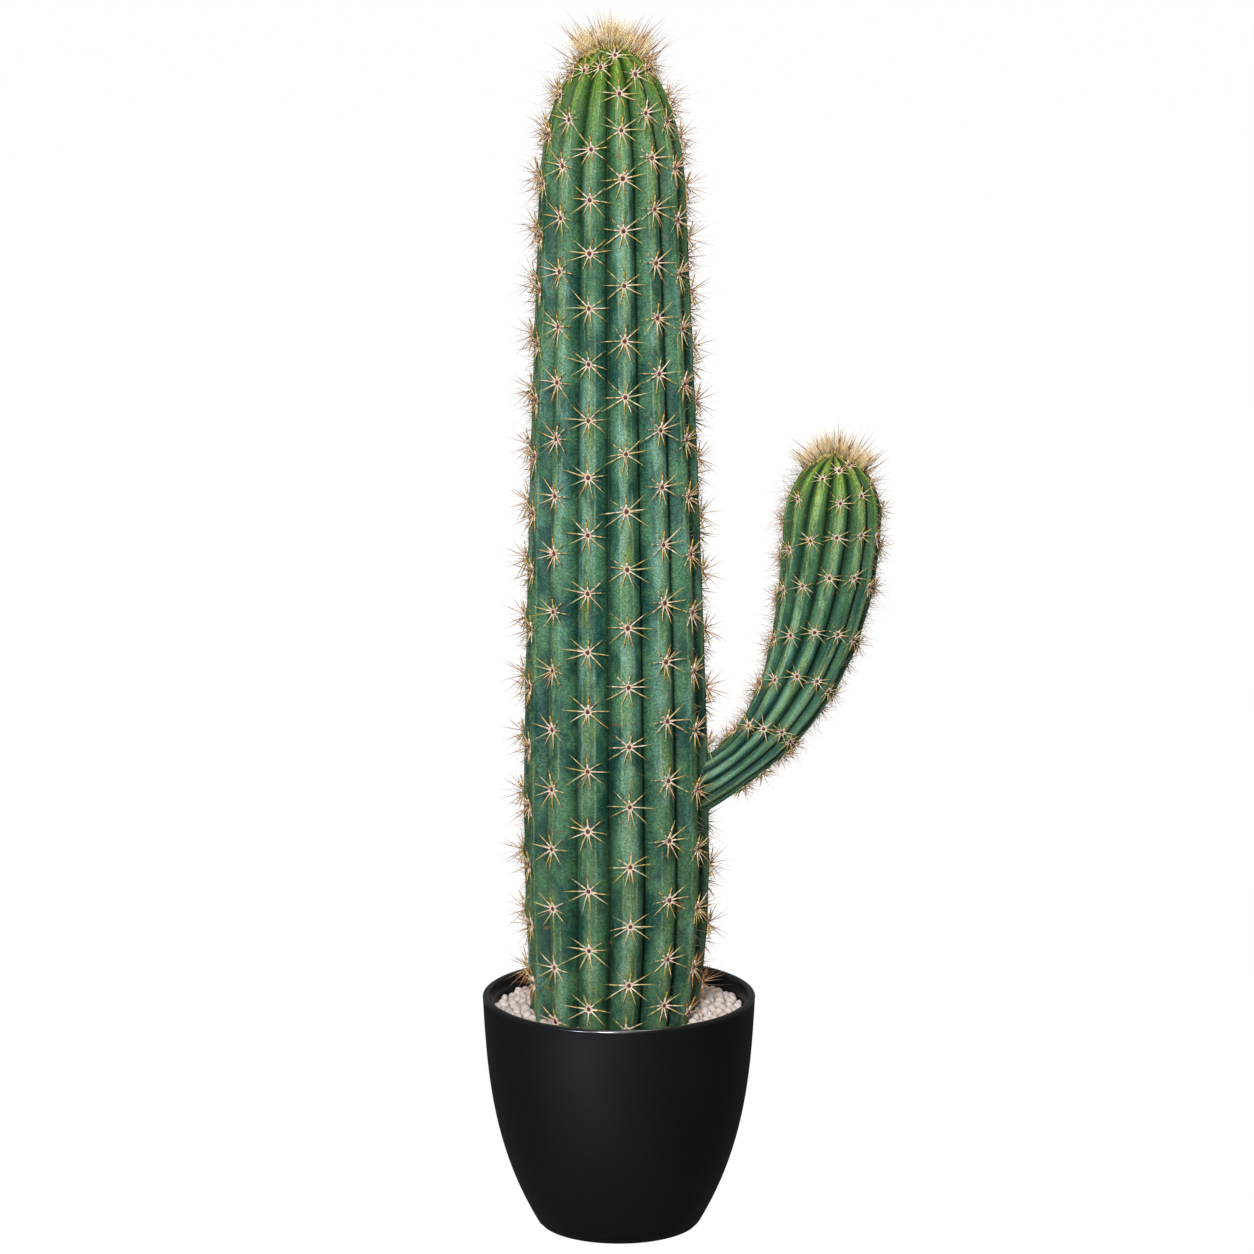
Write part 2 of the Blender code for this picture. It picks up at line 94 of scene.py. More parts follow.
# Arm, as in the solids
ARM_CURVE = [
    Vector((x, 0.0, z)) for x, z in ((0.0600, 0.4053), (0.1585, 0.4504), (0.1967, 0.5502), (0.1932, 0.7174))
]
ARM_NECK_AT = 0.055
ARM_NECK = 0.0215
ARM_FOOT_FLARE = 0.0035
ARM_FULL_AT = 0.290
ARM_FULL = 0.0438
ARM_DOME_AT = 0.302
ARM_DOME_POWERS = (2.0, 2.0)
ARM_SWELL_POWER = 1.22
ARM_PADS = (0.106, 0.163, 0.208, 0.258, 0.298, 0.342)  # stations of the rows where they climb highest
ARM_ROW_DIP = 0.025  # how far a row has come down a quarter turn further on
ARM_ROW_PEAK = radians(20.0)
ARM_LOW_PADS = (0.046, 0.066, 0.088)  # rows on the arm's underside alone
ARM_UNDERSIDE = 0.72  # the sine of a rib's angle is larger there
ARM_PAD_SWAY = 0.007  # how unevenly the rows lie
ARM_SWAY_GRAIN = (7.3, 31.0)  # how fast that changes, from rib to rib and in a metre
ARM_TOP_SHIFTS = (  # how far the last row's pads sit above or below it, rib by rib
    -0.018, -0.012, 0.004, -0.010, 0.006, -0.014, -0.016, -0.004, 0.006, -0.012, 0.0, 0.011,
)
ARM_CROWN_PADS = 0.353  # one more pad, close to the tuft, where there is room for it
ARM_CROWN_ROOM = -0.009  # where the last row is shifted further down than this

# Ribs in section: a broad round back that ends in a sharp crease, cut deeper than the solids' valley
RIB_BACK = 0.8
RIB_CREASE_POWER = 8
RIB_SLIT_POWER = 18

# Relief of the skin
PAD_MOUND = 0.0009
PAD_MOUND_SPREAD = 0.0075
PAD_MOUND_TOP = 0.8  # an areole sits this share of the mound up
SWELL_RELIEF = (0.00045, 45.0)  # depth, and bumps a metre
WRINKLE_RELIEF = (0.00018, 170.0)
YOUNG_STRENGTH = 1.3  # the young green is full a little way below the crown too
RELIEF_FADES = 0.02  # towards a crown's top, where the crest's radius gets smaller than this

# Areoles
WOOL_RADIUS = 0.0027
WOOL_THICKNESS = 0.0010
WOOL_PROPORTIONS = (1, 1.12, 0.8)  # to the sides, up and down, and outwards
WOOL_WOBBLE = 0.10  # how far a ring is from round
# Painted shade: most pads that don't face the front get darker brown wool
SHADE_PAINTED_SHARE = 0.85  # of the pads that don't face the front
SHADE_PAINTED_FACING = 0.45
HEART_RADIUS = 0.0020
HEART_PROPORTIONS = (1, 1.1, 0.75)

# Radial spines: angle from straight up, clockwise as seen from outside, length and stoutness
STAR = (
    (2, 0.0150, 1.4), (50, 0.0200, 1.0), (86, 0.0205, 1.1), (122, 0.0205, 1.0), (168, 0.0165, 0.9),
    (200, 0.0170, 1.0), (242, 0.0210, 1.0), (277, 0.0210, 1.1), (313, 0.0200, 1.0),
)
STAR_LIFT = 15.0
STAR_BUTT = 0.00073
STAR_TIP = 0.00023
SHORT_RADIALS = (25, 105, 184, 294)  # slim short spines between the long ones, on some pads
SHORT_RADIAL_SHARE = 0.45
SHORT_RADIAL = (0.0105, STAR_BUTT * 0.55, STAR_TIP * 0.8)  # length, butt and tip
CENTRALS = ((8, 48), (172, 44), (195, 66), (352, 70))  # angle and lift in degrees
CENTRAL = (0.0245, 0.00052, 0.00018)
CENTRAL_SPLIT = 0.45  # the share of its length that is rosy
HAIR_LIFTS = (34, 59, 84)  # degrees; at each lift one hair points up and one down
HAIR = (0.0240, 0.00028, 0.00014)
CREST_HAIRS = ((0.225, 0.0019, 0.0165), (0.045, 0.0010, 0.0165))  # first station, pitch, length: trunk, arm
CREST_HAIR_SPREAD = (0.012, 0.70, 0.30, 0.34)  # about the crest, up and down, aside, and the bend
CREST_HAIR_LENGTHS = (0.35, 1.1)  # least and most
CREST_HAIR_GIRTHS = (0.8, 0.4)  # at the butt and the tip, against the butt of a hair
HAIRS_WITHIN = 0.2575  # no hair reaches further out towards +X than this
BARE_FRONT = 0.97  # the share of hairs that are missing where the stems face the front
FACING = (0.25, 0.60)  # how far forward hairs point where they start to thin out, and where they are gone
LENGTHS, GIRTHS = (0.86, 1.12), (0.85, 1.15)  # how much they vary from pad to pad
LEAST_LIFT = 4  # degrees
FIRM_GIRTH, FIRM_WOOL = 0.3, 0.35  # the shares of spines' girth and of wool that don't shrink with a star
ARM_STAR_SIZE = 0.68
YOUNG_STAR_SHRINK = 0.15  # how much smaller the stars are at a crown's top
CROWN_STAR_TILT = radians(20.0)  # the stars at a crown's top turn this much away from the sky
TIP_CLEAR = 0.001  # how far tips keep from the gravel and the other stem; twice as far from the wall
SHADED_BELOW = 0.270  # most spines on pads lower than this, and this far to a side, are amber
SHADED_ASIDE = 0.060
SHADED_SHARE = 0.9
UPRIGHT = 0.90  # most spines that climb more steeply than this are browner
UPRIGHT_SHARE = 0.7

# Colours, in linear light
SPINE_TONES = {
    "cream": (0.88, 0.68, 0.50),
    "tan": (0.68, 0.50, 0.20),
    "gold": (0.60, 0.40, 0.09),
    "olive": (0.32, 0.28, 0.07),
    "green": (0.46, 0.50, 0.26),
    "amber": (0.48, 0.20, 0.06),
    "russet": (0.34, 0.14, 0.06),
}
ROSY_BROWN = (0.62, 0.38, 0.22)
BROWN = (0.42, 0.24, 0.12)
HAIR_DARK, HAIR_LIGHT = (0.34, 0.20, 0.12), (0.52, 0.36, 0.23)
FRESH_WOOL, SHADE_PAINTED_WOOL = (0.80, 0.61, 0.49), (0.55, 0.33, 0.18)
HEART_BROWN = (0.110, 0.040, 0.032)


# Shader maths


class Wire:
    """An output of a shader node. Sums and products with it add Math nodes."""

    def __init__(self, finish, socket):
        self.finish = finish
        self.socket = socket

    def worked(self, operation, *terms):
        return self.finish.node("Math", dict(enumerate(terms)), operation=operation)

    def __add__(self, other):
        return self.worked("ADD", self, other)

    def __sub__(self, other):
        return self.worked("SUBTRACT", self, other)

    def __rsub__(self, other):
        return self.worked("SUBTRACT", other, self)

    def __mul__(self, other):
        return self.worked("MULTIPLY", self, other)

    __radd__ = __add__
    __rmul__ = __mul__


class Finish:
    """A material with one Principled shader, built up a node at a time."""

    def __init__(self, name, colour=(0.8, 0.8, 0.8), roughness=0.5, specular=0.5, **coat):
        self.material = bpy.data.materials.new(name)
        self.material.use_nodes = True
        self.nodes = self.material.node_tree.nodes
        self.shader = self.nodes["Principled BSDF"]
        self.set("Base Color", (*colour, 1.0))
        self.set("Roughness", roughness)
        self.set("Specular IOR Level", specular)
        for name, value in coat.items():
            self.set(name.replace("_", " ").title().replace("Ior", "IOR"), value)

    def set(self, socket, value):
        """Puts a value or a wire on one of the shader's sockets."""
        self.plug(self.shader.inputs[socket], value)

    def plug(self, socket, value):
        if isinstance(value, Wire):
            self.material.node_tree.links.new(value.socket, socket)
        else:
            socket.default_value = value

    def node(self, kind, sockets=None, output=0, **settings):
        """Adds a node: its settings first, then the values or wires of its sockets."""
        made = self.nodes.new("ShaderNode" + kind)
        for name, value in settings.items():
            setattr(made, name, value)
        for place, value in (sockets or {}).items():
            self.plug(made.inputs[place], value)
        return Wire(self, made.outputs[output])

    def attribute(self, name, output="Fac"):
        return self.node("Attribute", output=output, attribute_name=name)

    def noise(self, place, scale, detail=2.0, roughness=0.5, stretch=(1, 1, 1), shift=0.0):
        """Noise from 0 to 1 with `scale` blotches a metre; stretch draws them out or squeezes them."""
        spot = self.node("Mapping", {"Vector": place, "Location": (shift,) * 3, "Scale": stretch})
        sockets = {"Vector": spot, "Scale": scale, "Detail": detail, "Roughness": roughness}
        return self.node("TexNoise", sockets)

    def step(self, value, low, high):
        """0 below low, 1 above high, smooth between; low above high turns it round."""
        sockets = {"Value": value, "From Min": low, "From Max": high}
        return self.node("MapRange", sockets, interpolation_type="SMOOTHSTEP")

    def mix(self, share, under, over, blend="MIX"):
        """The colour `over` laid on the colour `under` by a share."""
        under, over = (colour if isinstance(colour, Wire) else (*colour, 1.0) for colour in (under, over))
        sockets = {0: share, 6: under, 7: over}
        return self.node("Mix", sockets, output=2, data_type="RGBA", blend_type=blend)

    def bump(self, height, distance, strength=1.0):
        self.set("Normal", self.node("Bump", {"Height": height, "Distance": distance, "Strength": strength}))


# Meshes


def added(name, data):
    """A new object in the scene."""
    thing = bpy.data.objects.new(name, data)
    bpy.context.collection.objects.link(thing)
    return thing


def finish_piece(name, mesh, finish):
    """Adds a mesh as a piece of the plant, riding on its one body."""
    mesh.name = name
    mesh.materials.append(finish.material)
    mesh.shade_smooth()
    piece = added(name, mesh)
    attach(piece, "root")
    return piece


def mesh_from(bm):
    mesh = bpy.data.meshes.new("mesh")
    bm.to_mesh(mesh)
    bm.free()
    return mesh


def closed(bm, dist=1e-6):
    """Joins a mesh's seams and turns its faces outwards."""
    bmesh.ops.remove_doubles(bm, verts=bm.verts, dist=dist)
    bmesh.ops.recalc_face_normals(bm, faces=bm.faces)
    return bm


def spun(bm, steps, dist=1e-6):
    """Spins a profile about the Z axis."""
    bmesh.ops.spin(
        bm, geom=[*bm.verts, *bm.edges], axis=(0, 0, 1), cent=(0, 0, 0), angle=tau, steps=steps,
        use_merge=True,
    )
    return closed(bm, dist)


def joined_mesh(pattern, points):
    """One mesh of many copies of a pattern; points holds every copy's vertices, in the pattern's order."""
    pattern.verts.index_update()
    faces = [[vert.index for vert in face.verts] for face in pattern.faces]
    sizes = [len(face) for face in faces] * len(points)
    corners = np.concatenate(faces) + np.arange(len(points))[:, None] * len(pattern.verts)
    mesh = bpy.data.meshes.new("mesh")
    mesh.vertices.add(len(points) * len(pattern.verts))
    mesh.vertices.foreach_set("co", np.asarray(points, np.float32).ravel())
    mesh.loops.add(corners.size)
    mesh.loops.foreach_set("vertex_index", corners.astype(np.int32).ravel())
    mesh.polygons.add(len(sizes))
    mesh.polygons.foreach_set("loop_start", np.cumsum([0, *sizes[:-1]]).astype(np.int32))
    mesh.update(calc_edges=True)
    return mesh


def pattern_points(pattern):
    return np.array([vert.co for vert in pattern.verts])


def unit(vectors):
    return vectors / np.linalg.norm(vectors, axis=-1, keepdims=True)


def turned_towards(way, other, angle):
    """Unit vectors turned from one way towards another that is square to it."""
    return way * np.cos(angle)[..., None] + other * np.sin(angle)[..., None]


def rod_pattern(sides, steps, pointed=False):
    """A closed rod, one unit thick and long, from z 0 to z 1, with evenly spaced rings."""
    bm = bmesh.new()
    tip = 0.0 if pointed else 1.0
    bmesh.ops.create_cone(bm, cap_ends=True, segments=sides, radius1=1.0, radius2=tip, depth=1.0)
    bmesh.ops.translate(bm, verts=bm.verts, vec=(0, 0, 0.5))
    for step in range(1, steps):
        everything = [*bm.verts, *bm.edges, *bm.faces]
        bmesh.ops.bisect_plane(bm, geom=everything, plane_co=(0, 0, step / steps), plane_no=(0, 0, 1))
    return bm


class Strands(namedtuple("Strands", "roots ways bends lengths butts tips")):
    """Tapering, bent strands, an entry for each: where they start, their way, bend, length and radii."""

    def some(self, chosen):
        return Strands(*(field[chosen] for field in self))

    def along(self, share):
        """Points at a share of each strand's length; share has a column for each point."""
        reach = (self.lengths[:, None] * share)[..., None]
        sag = self.bends[:, None] * reach * share[..., None]
        return self.roots[:, None] + self.ways[:, None] * reach + sag

    def ends(self):
        return self.along(np.ones((len(self.roots), 1)))[:, 0]

    def points(self, pattern, start=0.0, end=1.0):
        """Every strand's copy of a rod, over one stretch of the strand."""
        rod = pattern_points(pattern)
        share = np.broadcast_to(start + (end - start) * rod[:, 2], (len(self.roots), len(rod)))
        tangent = unit(self.ways[:, None] + 2 * self.bends[:, None] * share[..., None])
        least = np.eye(3)[np.abs(self.ways).argmin(axis=1)]
        side = unit(np.cross(tangent, least[:, None]))
        radius = self.butts[:, None] + (self.tips - self.butts)[:, None] * share
        offset = side * rod[:, 0][:, None] + np.cross(tangent, side) * rod[:, 1][:, None]
        return self.along(share) + offset * radius[..., None]


def gathered(*groups):
    return Strands(*map(np.concatenate, zip(*groups)))


# Planter


def pot_outer_radius(z):
    below_rim = 1 - z / POT_HEIGHT
    return POT_RIM_RADIUS - POT_DRAFT * below_rim - POT_BULGE * below_rim ** POT_BULGE_POWER


GRAVEL_RADIUS = pot_outer_radius(GRAVEL_TOP) - POT_WALL


def turned(profile, steps):
    """A vessel from its (radius, height) profile, which starts and ends on the axis."""
    bm = bmesh.new()
    points = [bm.verts.new((radius, 0.0, z)) for radius, z in profile]
    for pair in zip(points, points[1:]):
        bm.edges.new(pair)
    return spun(bm, steps)


def rounded(corner, radius, start, end, steps):
    """Points of an arc about a corner, from one angle to another."""
    turns = np.linspace(start, end, steps + 1)
    return [(corner[0] + radius * cos(turn), corner[1] + radius * sin(turn)) for turn in turns]


LIP_WIDTH = 0.0065
LIP_OUTER_ROUNDING = 0.0024
LIP_INNER_ROUNDING = 0.0018
LIP_INSIDE_DEPTH = 0.006
FOOT_ROUNDING = 0.0022
LIP_GLOSS = (0.004, 0.001)  # below the rim: where the lip's gloss starts, and where it is full
INNER_WALL_LEVELS = (0.150, 0.100, 0.055)
BLACK_TONES = (0.0029, 0.0029, 0.0034), (0.0048, 0.0049, 0.0056)
CRUMB_TONES = (0.010, 0.006, 0.004), (0.055, 0.034, 0.020)
FIBRE_TONE = (0.13, 0.085, 0.045)
POT_SEGMENTS = 192
POT_WALL_ROWS = 64


def build_planter():
    foot = pot_outer_radius(0.0)
    profile = [(0.0, 0.0)]
    profile += rounded((foot - FOOT_ROUNDING, FOOT_ROUNDING), FOOT_ROUNDING, -pi / 2, 0, 5)
    first, last = FOOT_ROUNDING * 1.5, POT_HEIGHT - LIP_OUTER_ROUNDING * 1.5
    profile += [(pot_outer_radius(z), z) for z in np.linspace(first, last, POT_WALL_ROWS + 1)]
    outer = (POT_RIM_RADIUS - LIP_OUTER_ROUNDING, POT_HEIGHT - LIP_OUTER_ROUNDING)
    profile += rounded(outer, LIP_OUTER_ROUNDING, 0, pi / 2, 6)
    inner_edge = POT_RIM_RADIUS - LIP_WIDTH
    inner = (inner_edge + LIP_INNER_ROUNDING, POT_HEIGHT - LIP_INNER_ROUNDING)
    profile += rounded(inner, LIP_INNER_ROUNDING, pi / 2, pi, 5)
    inside = [POT_HEIGHT - LIP_INSIDE_DEPTH, GRAVEL_TOP, SOIL_TOP, *INNER_WALL_LEVELS, POT_FLOOR]
    profile += [(pot_outer_radius(z) - POT_WALL, z) for z in inside]
    profile += [(0.0, POT_FLOOR)]
    finish = Finish("black_planter", roughness=0.46, specular=0.29, coat_roughness=0.16, coat_ior=1.8)
    place = finish.node("TexCoord", output="Object")
    cloud = finish.noise(place, 14.0, detail=3.0)
    grain = finish.noise(place, 1500.0, detail=1.0)
    finish.set("Base Color", finish.mix(cloud, *BLACK_TONES))
    matte = finish.node("MapRange", {"Value": cloud + grain * 0.35, "To Min": 0.38, "To Max": 0.48})
    height = finish.node("SeparateXYZ", {0: place}, output=2)
    lip = finish.step(height, POT_HEIGHT - LIP_GLOSS[0], POT_HEIGHT - LIP_GLOSS[1])
    finish.set("Roughness", matte - lip * 0.17)
    finish.set("Coat Weight", lip)
    finish.bump(grain, 0.00012, 0.5)
    planter = finish_piece("planter", mesh_from(turned(profile, POT_SEGMENTS)), finish)
    planter.data.set_sharp_from_angle(angle=radians(50))
    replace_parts(planter, "pot")


def dress_soil():
    """The soil keeps its solid and gets a crumbly mix's colours; it shows only between the pebbles."""
    finish = Finish("potting_mix", roughness=0.95)
    place = finish.node("TexCoord", output="Object")
    crumbs = finish.noise(place, 420.0, detail=4.0, roughness=0.7)
    fibres = finish.noise(place, 160.0, detail=3.0, stretch=(1.0, 0.3, 1.0))
    dark = finish.mix(finish.step(crumbs, 0.35, 0.65), *CRUMB_TONES)
    finish.set("Base Color", finish.mix(finish.step(fibres, 0.6, 0.75) * 0.6, dark, FIBRE_TONE))
    finish.bump(crumbs, 0.003)
    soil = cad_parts["soil"]
    soil.data.materials.clear()
    soil.data.materials.append(finish.material)


# Pebbles

PEBBLE_SIZES = (0.0040, 0.0048)  # smallest and largest half-width
PEBBLE_SPACING = 0.0072
PEBBLE_TOP = GRAVEL_TOP - 0.0042
PEBBLE_RISE = 0.0047  # how much higher they lie everywhere but at the front
PEBBLE_HEAP = 0.0085  # how much higher still against the trunk, at its sides and back
PEBBLE_BEHIND = (0.85, 1.3)  # how fully they are raised at the sides, and how much more towards the back
PEBBLE_BURIED = 0.001  # how deep in the trunk a pebble's middle may lie
PEBBLE_LAYERS = (0.0, 0.0042)
PEBBLE_TRIES = 16000
PEBBLE_UNEVEN = 0.0009  # how far up or down a pebble lies from its layer
PEBBLE_PROPORTIONS = (0.88, 0.88, 0.75), (1.12, 1.12, 0.95)  # least and most along its three axes
PEBBLE_DENTS = 0.06
PEBBLE_TONES = {
    "white": ((0.67, 0.60, 0.56), 0.40),
    "cream": ((0.63, 0.54, 0.48), 0.28),
    "rose": ((0.58, 0.47, 0.42), 0.20),
    "grey": ((0.50, 0.44, 0.41), 0.12),
}


def pebble_pattern():
    """A ball of a few dozen faces: a cube, cut twice each way and blown up."""
    bm = bmesh.new()
    bmesh.ops.create_cube(bm, size=2.0)
    bmesh.ops.subdivide_edges(bm, edges=bm.edges, cuts=2, use_grid_fill=True)
    for vert in bm.verts:
        vert.co.normalize()
    return bm


def spaced(rng, inner, outer, spacing, tries):
    """Random places in a ring, none nearer to another than the spacing."""
    radius = np.sqrt(rng.uniform(inner ** 2, outer ** 2, tries))
    turn = rng.uniform(0, tau, tries)
    offered = np.stack((radius * np.cos(turn), radius * np.sin(turn)), axis=1)
    kept = np.empty((0, 2))
    for spot in offered:
        if not len(kept) or np.hypot(*(kept - spot).T).min() > spacing:
            kept = np.vstack((kept, spot))
    return kept


def turned_any_way(rng, count):
    """Random rotation matrices."""
    first = unit(rng.normal(size=(count, 3)))
    second = rng.normal(size=(count, 3))
    second = unit(second - first * (first * second).sum(axis=1, keepdims=True))
    return np.stack((first, second, np.cross(first, second)), axis=2)


def build_pebbles():
    rng = np.random.default_rng(5)
    pattern = pebble_pattern()
    ball = pattern_points(pattern)
    foot = TRUNK.crest(np.array([GRAVEL_TOP]))[0] * TRUNK.valley
    middles = []
    for depth in PEBBLE_LAYERS:
        spots = spaced(rng, foot, GRAVEL_RADIUS - PEBBLE_SIZES[0], PEBBLE_SPACING, PEBBLE_TRIES)
        share = (np.hypot(*spots.T) - foot) / (GRAVEL_RADIUS - foot)
        behind = PEBBLE_BEHIND[0] + PEBBLE_BEHIND[1] * spots[:, 1] / np.hypot(*spots.T)
        raised = PEBBLE_RISE + PEBBLE_HEAP * (1 - share)
        height = PEBBLE_TOP - PEBBLE_SIZES[0] - depth + raised * np.clip(behind, 0, 1)
        height += rng.uniform(-PEBBLE_UNEVEN, PEBBLE_UNEVEN, len(spots))
        middles.append(np.column_stack((spots, height)))
    middles = np.concatenate(middles)
    middles = middles[outside_trunk(middles) > -PEBBLE_BURIED]
    count = len(middles)
    sizes = rng.uniform(*PEBBLE_SIZES, (count, 1)) * rng.uniform(*PEBBLE_PROPORTIONS, (count, 3))
    waves = np.sin(ball @ rng.normal(0, 1.6, (count, 3, 2)) + rng.uniform(0, tau, (count, 1, 2)))
    shapes = ball * (1 + PEBBLE_DENTS * waves.sum(axis=2))[..., None] * sizes[:, None]
    points = np.einsum("nvk,njk->nvj", shapes, turned_any_way(rng, count)) + middles[:, None]
    tones = rng.choice(len(PEBBLE_TONES), count, p=[share for _, share in PEBBLE_TONES.values()])
    for tone, (name, (colour, _)) in enumerate(PEBBLE_TONES.items()):
        finish = Finish(f"pebble_{name}", colour, 0.62, specular=0.35)
        mesh = joined_mesh(pattern, points[tones == tone])
        piece = finish_piece(f"pebbles_{name}", mesh, finish)
        if name == "white":
            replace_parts(piece, "gravel")


# Ribbed stems


class Stem(NamedTuple):
    """A ribbed stem. Its functions take arrays of stations along it, in metres."""

    name: str
    ribs: int
    first_crest: float
    valley: float
    crest: Callable
    centre: Callable
    across: Callable
    foot: float
    dome_at: float
    tip: float
    dome_power: float
    mesh: tuple  # columns to a rib, rows below the dome and rows on it
    slit: float  # how much deeper the crease is cut than the solids' valley, as a share of the radius
    tint_reach: float  # how fast the young green fades below the crown
    twist: float = 0.0
    twist_at: float = 0.0

    def rows(self):
        """Stations of the skin's rows. On the dome they stay even as they close over the top."""
        _, below, above = self.mesh
        turns = np.linspace(0, pi / 2, above + 1)
        dome = self.dome_at + (self.tip - self.dome_at) * np.sin(turns) ** (2 / self.dome_power)
        return np.concatenate((np.linspace(self.foot, self.dome_at, below, endpoint=False), dome))

    def turned(self, along):
        """How far the ribs have turned about the stem at each station."""
        return self.twist * (along - self.twist_at)

    def section(self, angle, along):
        """How far an angle lies from its rib's crest, from -1 at one valley to 1 at the next."""
        turn = (angle - self.first_crest - self.turned(along)) / (tau / self.ribs)
        return 2 * (turn - np.round(turn))

    def radius(self, angle, along):
        place = np.abs(self.section(angle, along))
        fall = RIB_BACK * place ** 2 + (1 - RIB_BACK) * place ** RIB_CREASE_POWER
        return self.crest(along) * (1 - (1 - self.valley) * fall - self.slit * place ** RIB_SLIT_POWER)

    def youth(self, along):
        """1 at the crown, falling off down the stem."""
        return np.clip(YOUNG_STRENGTH * np.exp((along - self.tip) / self.tint_reach), 0, 1)

    def outward(self, angle, along):
        """Unit vectors square to the stem's line."""
        return turned_towards(np.array((0.0, -1.0, 0.0)), self.across(along), angle)

    def point(self, angle, along, lift=0.0):
        reach = (self.radius(angle, along) + lift)[..., None]
        return self.centre(along) + self.outward(angle, along) * reach

    def crest_angle(self, rib, along):
        return self.first_crest + self.turned(along) + tau * rib / self.ribs

    def frames(self, angle, along):
        """Points on the skin with their directions up the rib, sideways and outwards."""
        nudge = 0.002
        turn = self.turned(nudge + self.twist_at)
        up = unit(self.point(angle + turn, along + nudge) - self.point(angle - turn, along - nudge))
        side = self.point(angle + nudge, along) - self.point(angle - nudge, along)
        side = unit(side - up * (side * up).sum(axis=-1, keepdims=True))
        return self.point(angle, along), up, side, np.cross(side, up)


def superellipse(share, power, root):
    return np.clip(1 - np.clip(share, 0, 1) ** power, 0, None) ** (1 / root)


def trunk_crest(z):
    dome = (z - TRUNK_SHOULDER_Z) / (TRUNK_TOP_Z - TRUNK_SHOULDER_Z)
    taper = np.clip((z - TRUNK_WIDEST_Z) / (TRUNK_SHOULDER_Z - TRUNK_WIDEST_Z), 0, 1)
    tuck = np.clip((TRUNK_WIDEST_Z - z) / (TRUNK_WIDEST_Z - TRUNK_FOOT_Z), 0, None)
    body = TRUNK_WIDEST - (TRUNK_WIDEST - TRUNK_SHOULDER) * taper ** TRUNK_TAPER_POWER
    body = body - TRUNK_FOOT_TUCK * tuck ** 2
    return np.where(z > TRUNK_SHOULDER_Z, TRUNK_SHOULDER * superellipse(dome, *TRUNK_DOME_POWERS), body)


def trunk_centre(z):
    share = np.clip(z - TRUNK_FOOT_Z, 0, None) / (TRUNK_TIP_Z - TRUNK_FOOT_Z)
    low = np.clip((TRUNK_WIDEST_Z - z) / (TRUNK_WIDEST_Z - TRUNK_FOOT_Z), 0, 1)
    aside = TRUNK_LEAN * share ** TRUNK_LEAN_POWER - TRUNK_FOOT_SHIFT * low ** 3
    return np.stack((aside, np.zeros_like(z), z), axis=-1)


def trunk_across(z):
    return np.broadcast_to((1.0, 0.0, 0.0), (*np.shape(z), 3))


ARM_PATH = np.array(interpolate_bezier(*ARM_CURVE, 400))
ARM_STATIONS = np.concatenate(([0.0], np.cumsum(np.linalg.norm(np.diff(ARM_PATH, axis=0), axis=1))))
ARM_LENGTH = ARM_STATIONS[-1]
ARM_TANGENTS = unit(np.gradient(ARM_PATH, axis=0))


def read_along(table, along):
    """Values of a table kept at the arm's stations, read at any place along it."""
    return np.stack([np.interp(along, ARM_STATIONS, column) for column in table.T], axis=-1)


def arm_crest(along):
    dome = (along - ARM_DOME_AT) / (ARM_LENGTH - ARM_DOME_AT)
    share = np.clip((along - ARM_NECK_AT) / (ARM_FULL_AT - ARM_NECK_AT), 0, 1)
    flare = ARM_FOOT_FLARE * np.clip(1 - along / ARM_NECK_AT, 0, None) ** 2
    body = ARM_NECK + (ARM_FULL - ARM_NECK) * np.sin(pi / 2 * share) ** ARM_SWELL_POWER + flare
    return np.where(along > ARM_DOME_AT, ARM_FULL * superellipse(dome, *ARM_DOME_POWERS), body)


def arm_centre(along):
    return read_along(ARM_PATH, along)


def arm_across(along):
    tangent = read_along(ARM_TANGENTS, along)
    return unit(np.stack((tangent[..., 2], np.zeros_like(along), -tangent[..., 0]), axis=-1))


TRUNK = Stem(
    "trunk", ribs=14, first_crest=radians(8.4), valley=0.81, crest=trunk_crest, centre=trunk_centre,
    across=trunk_across, foot=TRUNK_FOOT_Z, dome_at=TRUNK_SHOULDER_Z, tip=TRUNK_TOP_Z,
    dome_power=TRUNK_DOME_POWERS[0], mesh=(24, 236, 48), slit=0.045, tint_reach=0.068,
)
ARM = Stem(
    "arm", ribs=12, first_crest=radians(5.0), valley=0.84, crest=arm_crest, centre=arm_centre,
    across=arm_across, foot=0.0, dome_at=ARM_DOME_AT, tip=ARM_LENGTH, dome_power=ARM_DOME_POWERS[0],
    mesh=(20, 160, 38), slit=0.085, tint_reach=0.050, twist=radians(105.0), twist_at=0.31,
)


def outside_trunk(points):
    """How far points lie outside the trunk's skin; negative inside."""
    offset = points - trunk_centre(points[..., 2])
    angle = np.arctan2(offset[..., 0], -offset[..., 1])
    return np.hypot(offset[..., 0], offset[..., 1]) - TRUNK.radius(angle, points[..., 2])


def outside_arm(points):
    """How far points lie outside the arm's crest line; negative inside."""
    gaps = np.linalg.norm(points[..., None, :] - ARM_PATH[::8], axis=-1)
    nearest = gaps.argmin(axis=-1)
    return gaps.min(axis=-1) - arm_crest(ARM_STATIONS[::8])[nearest]


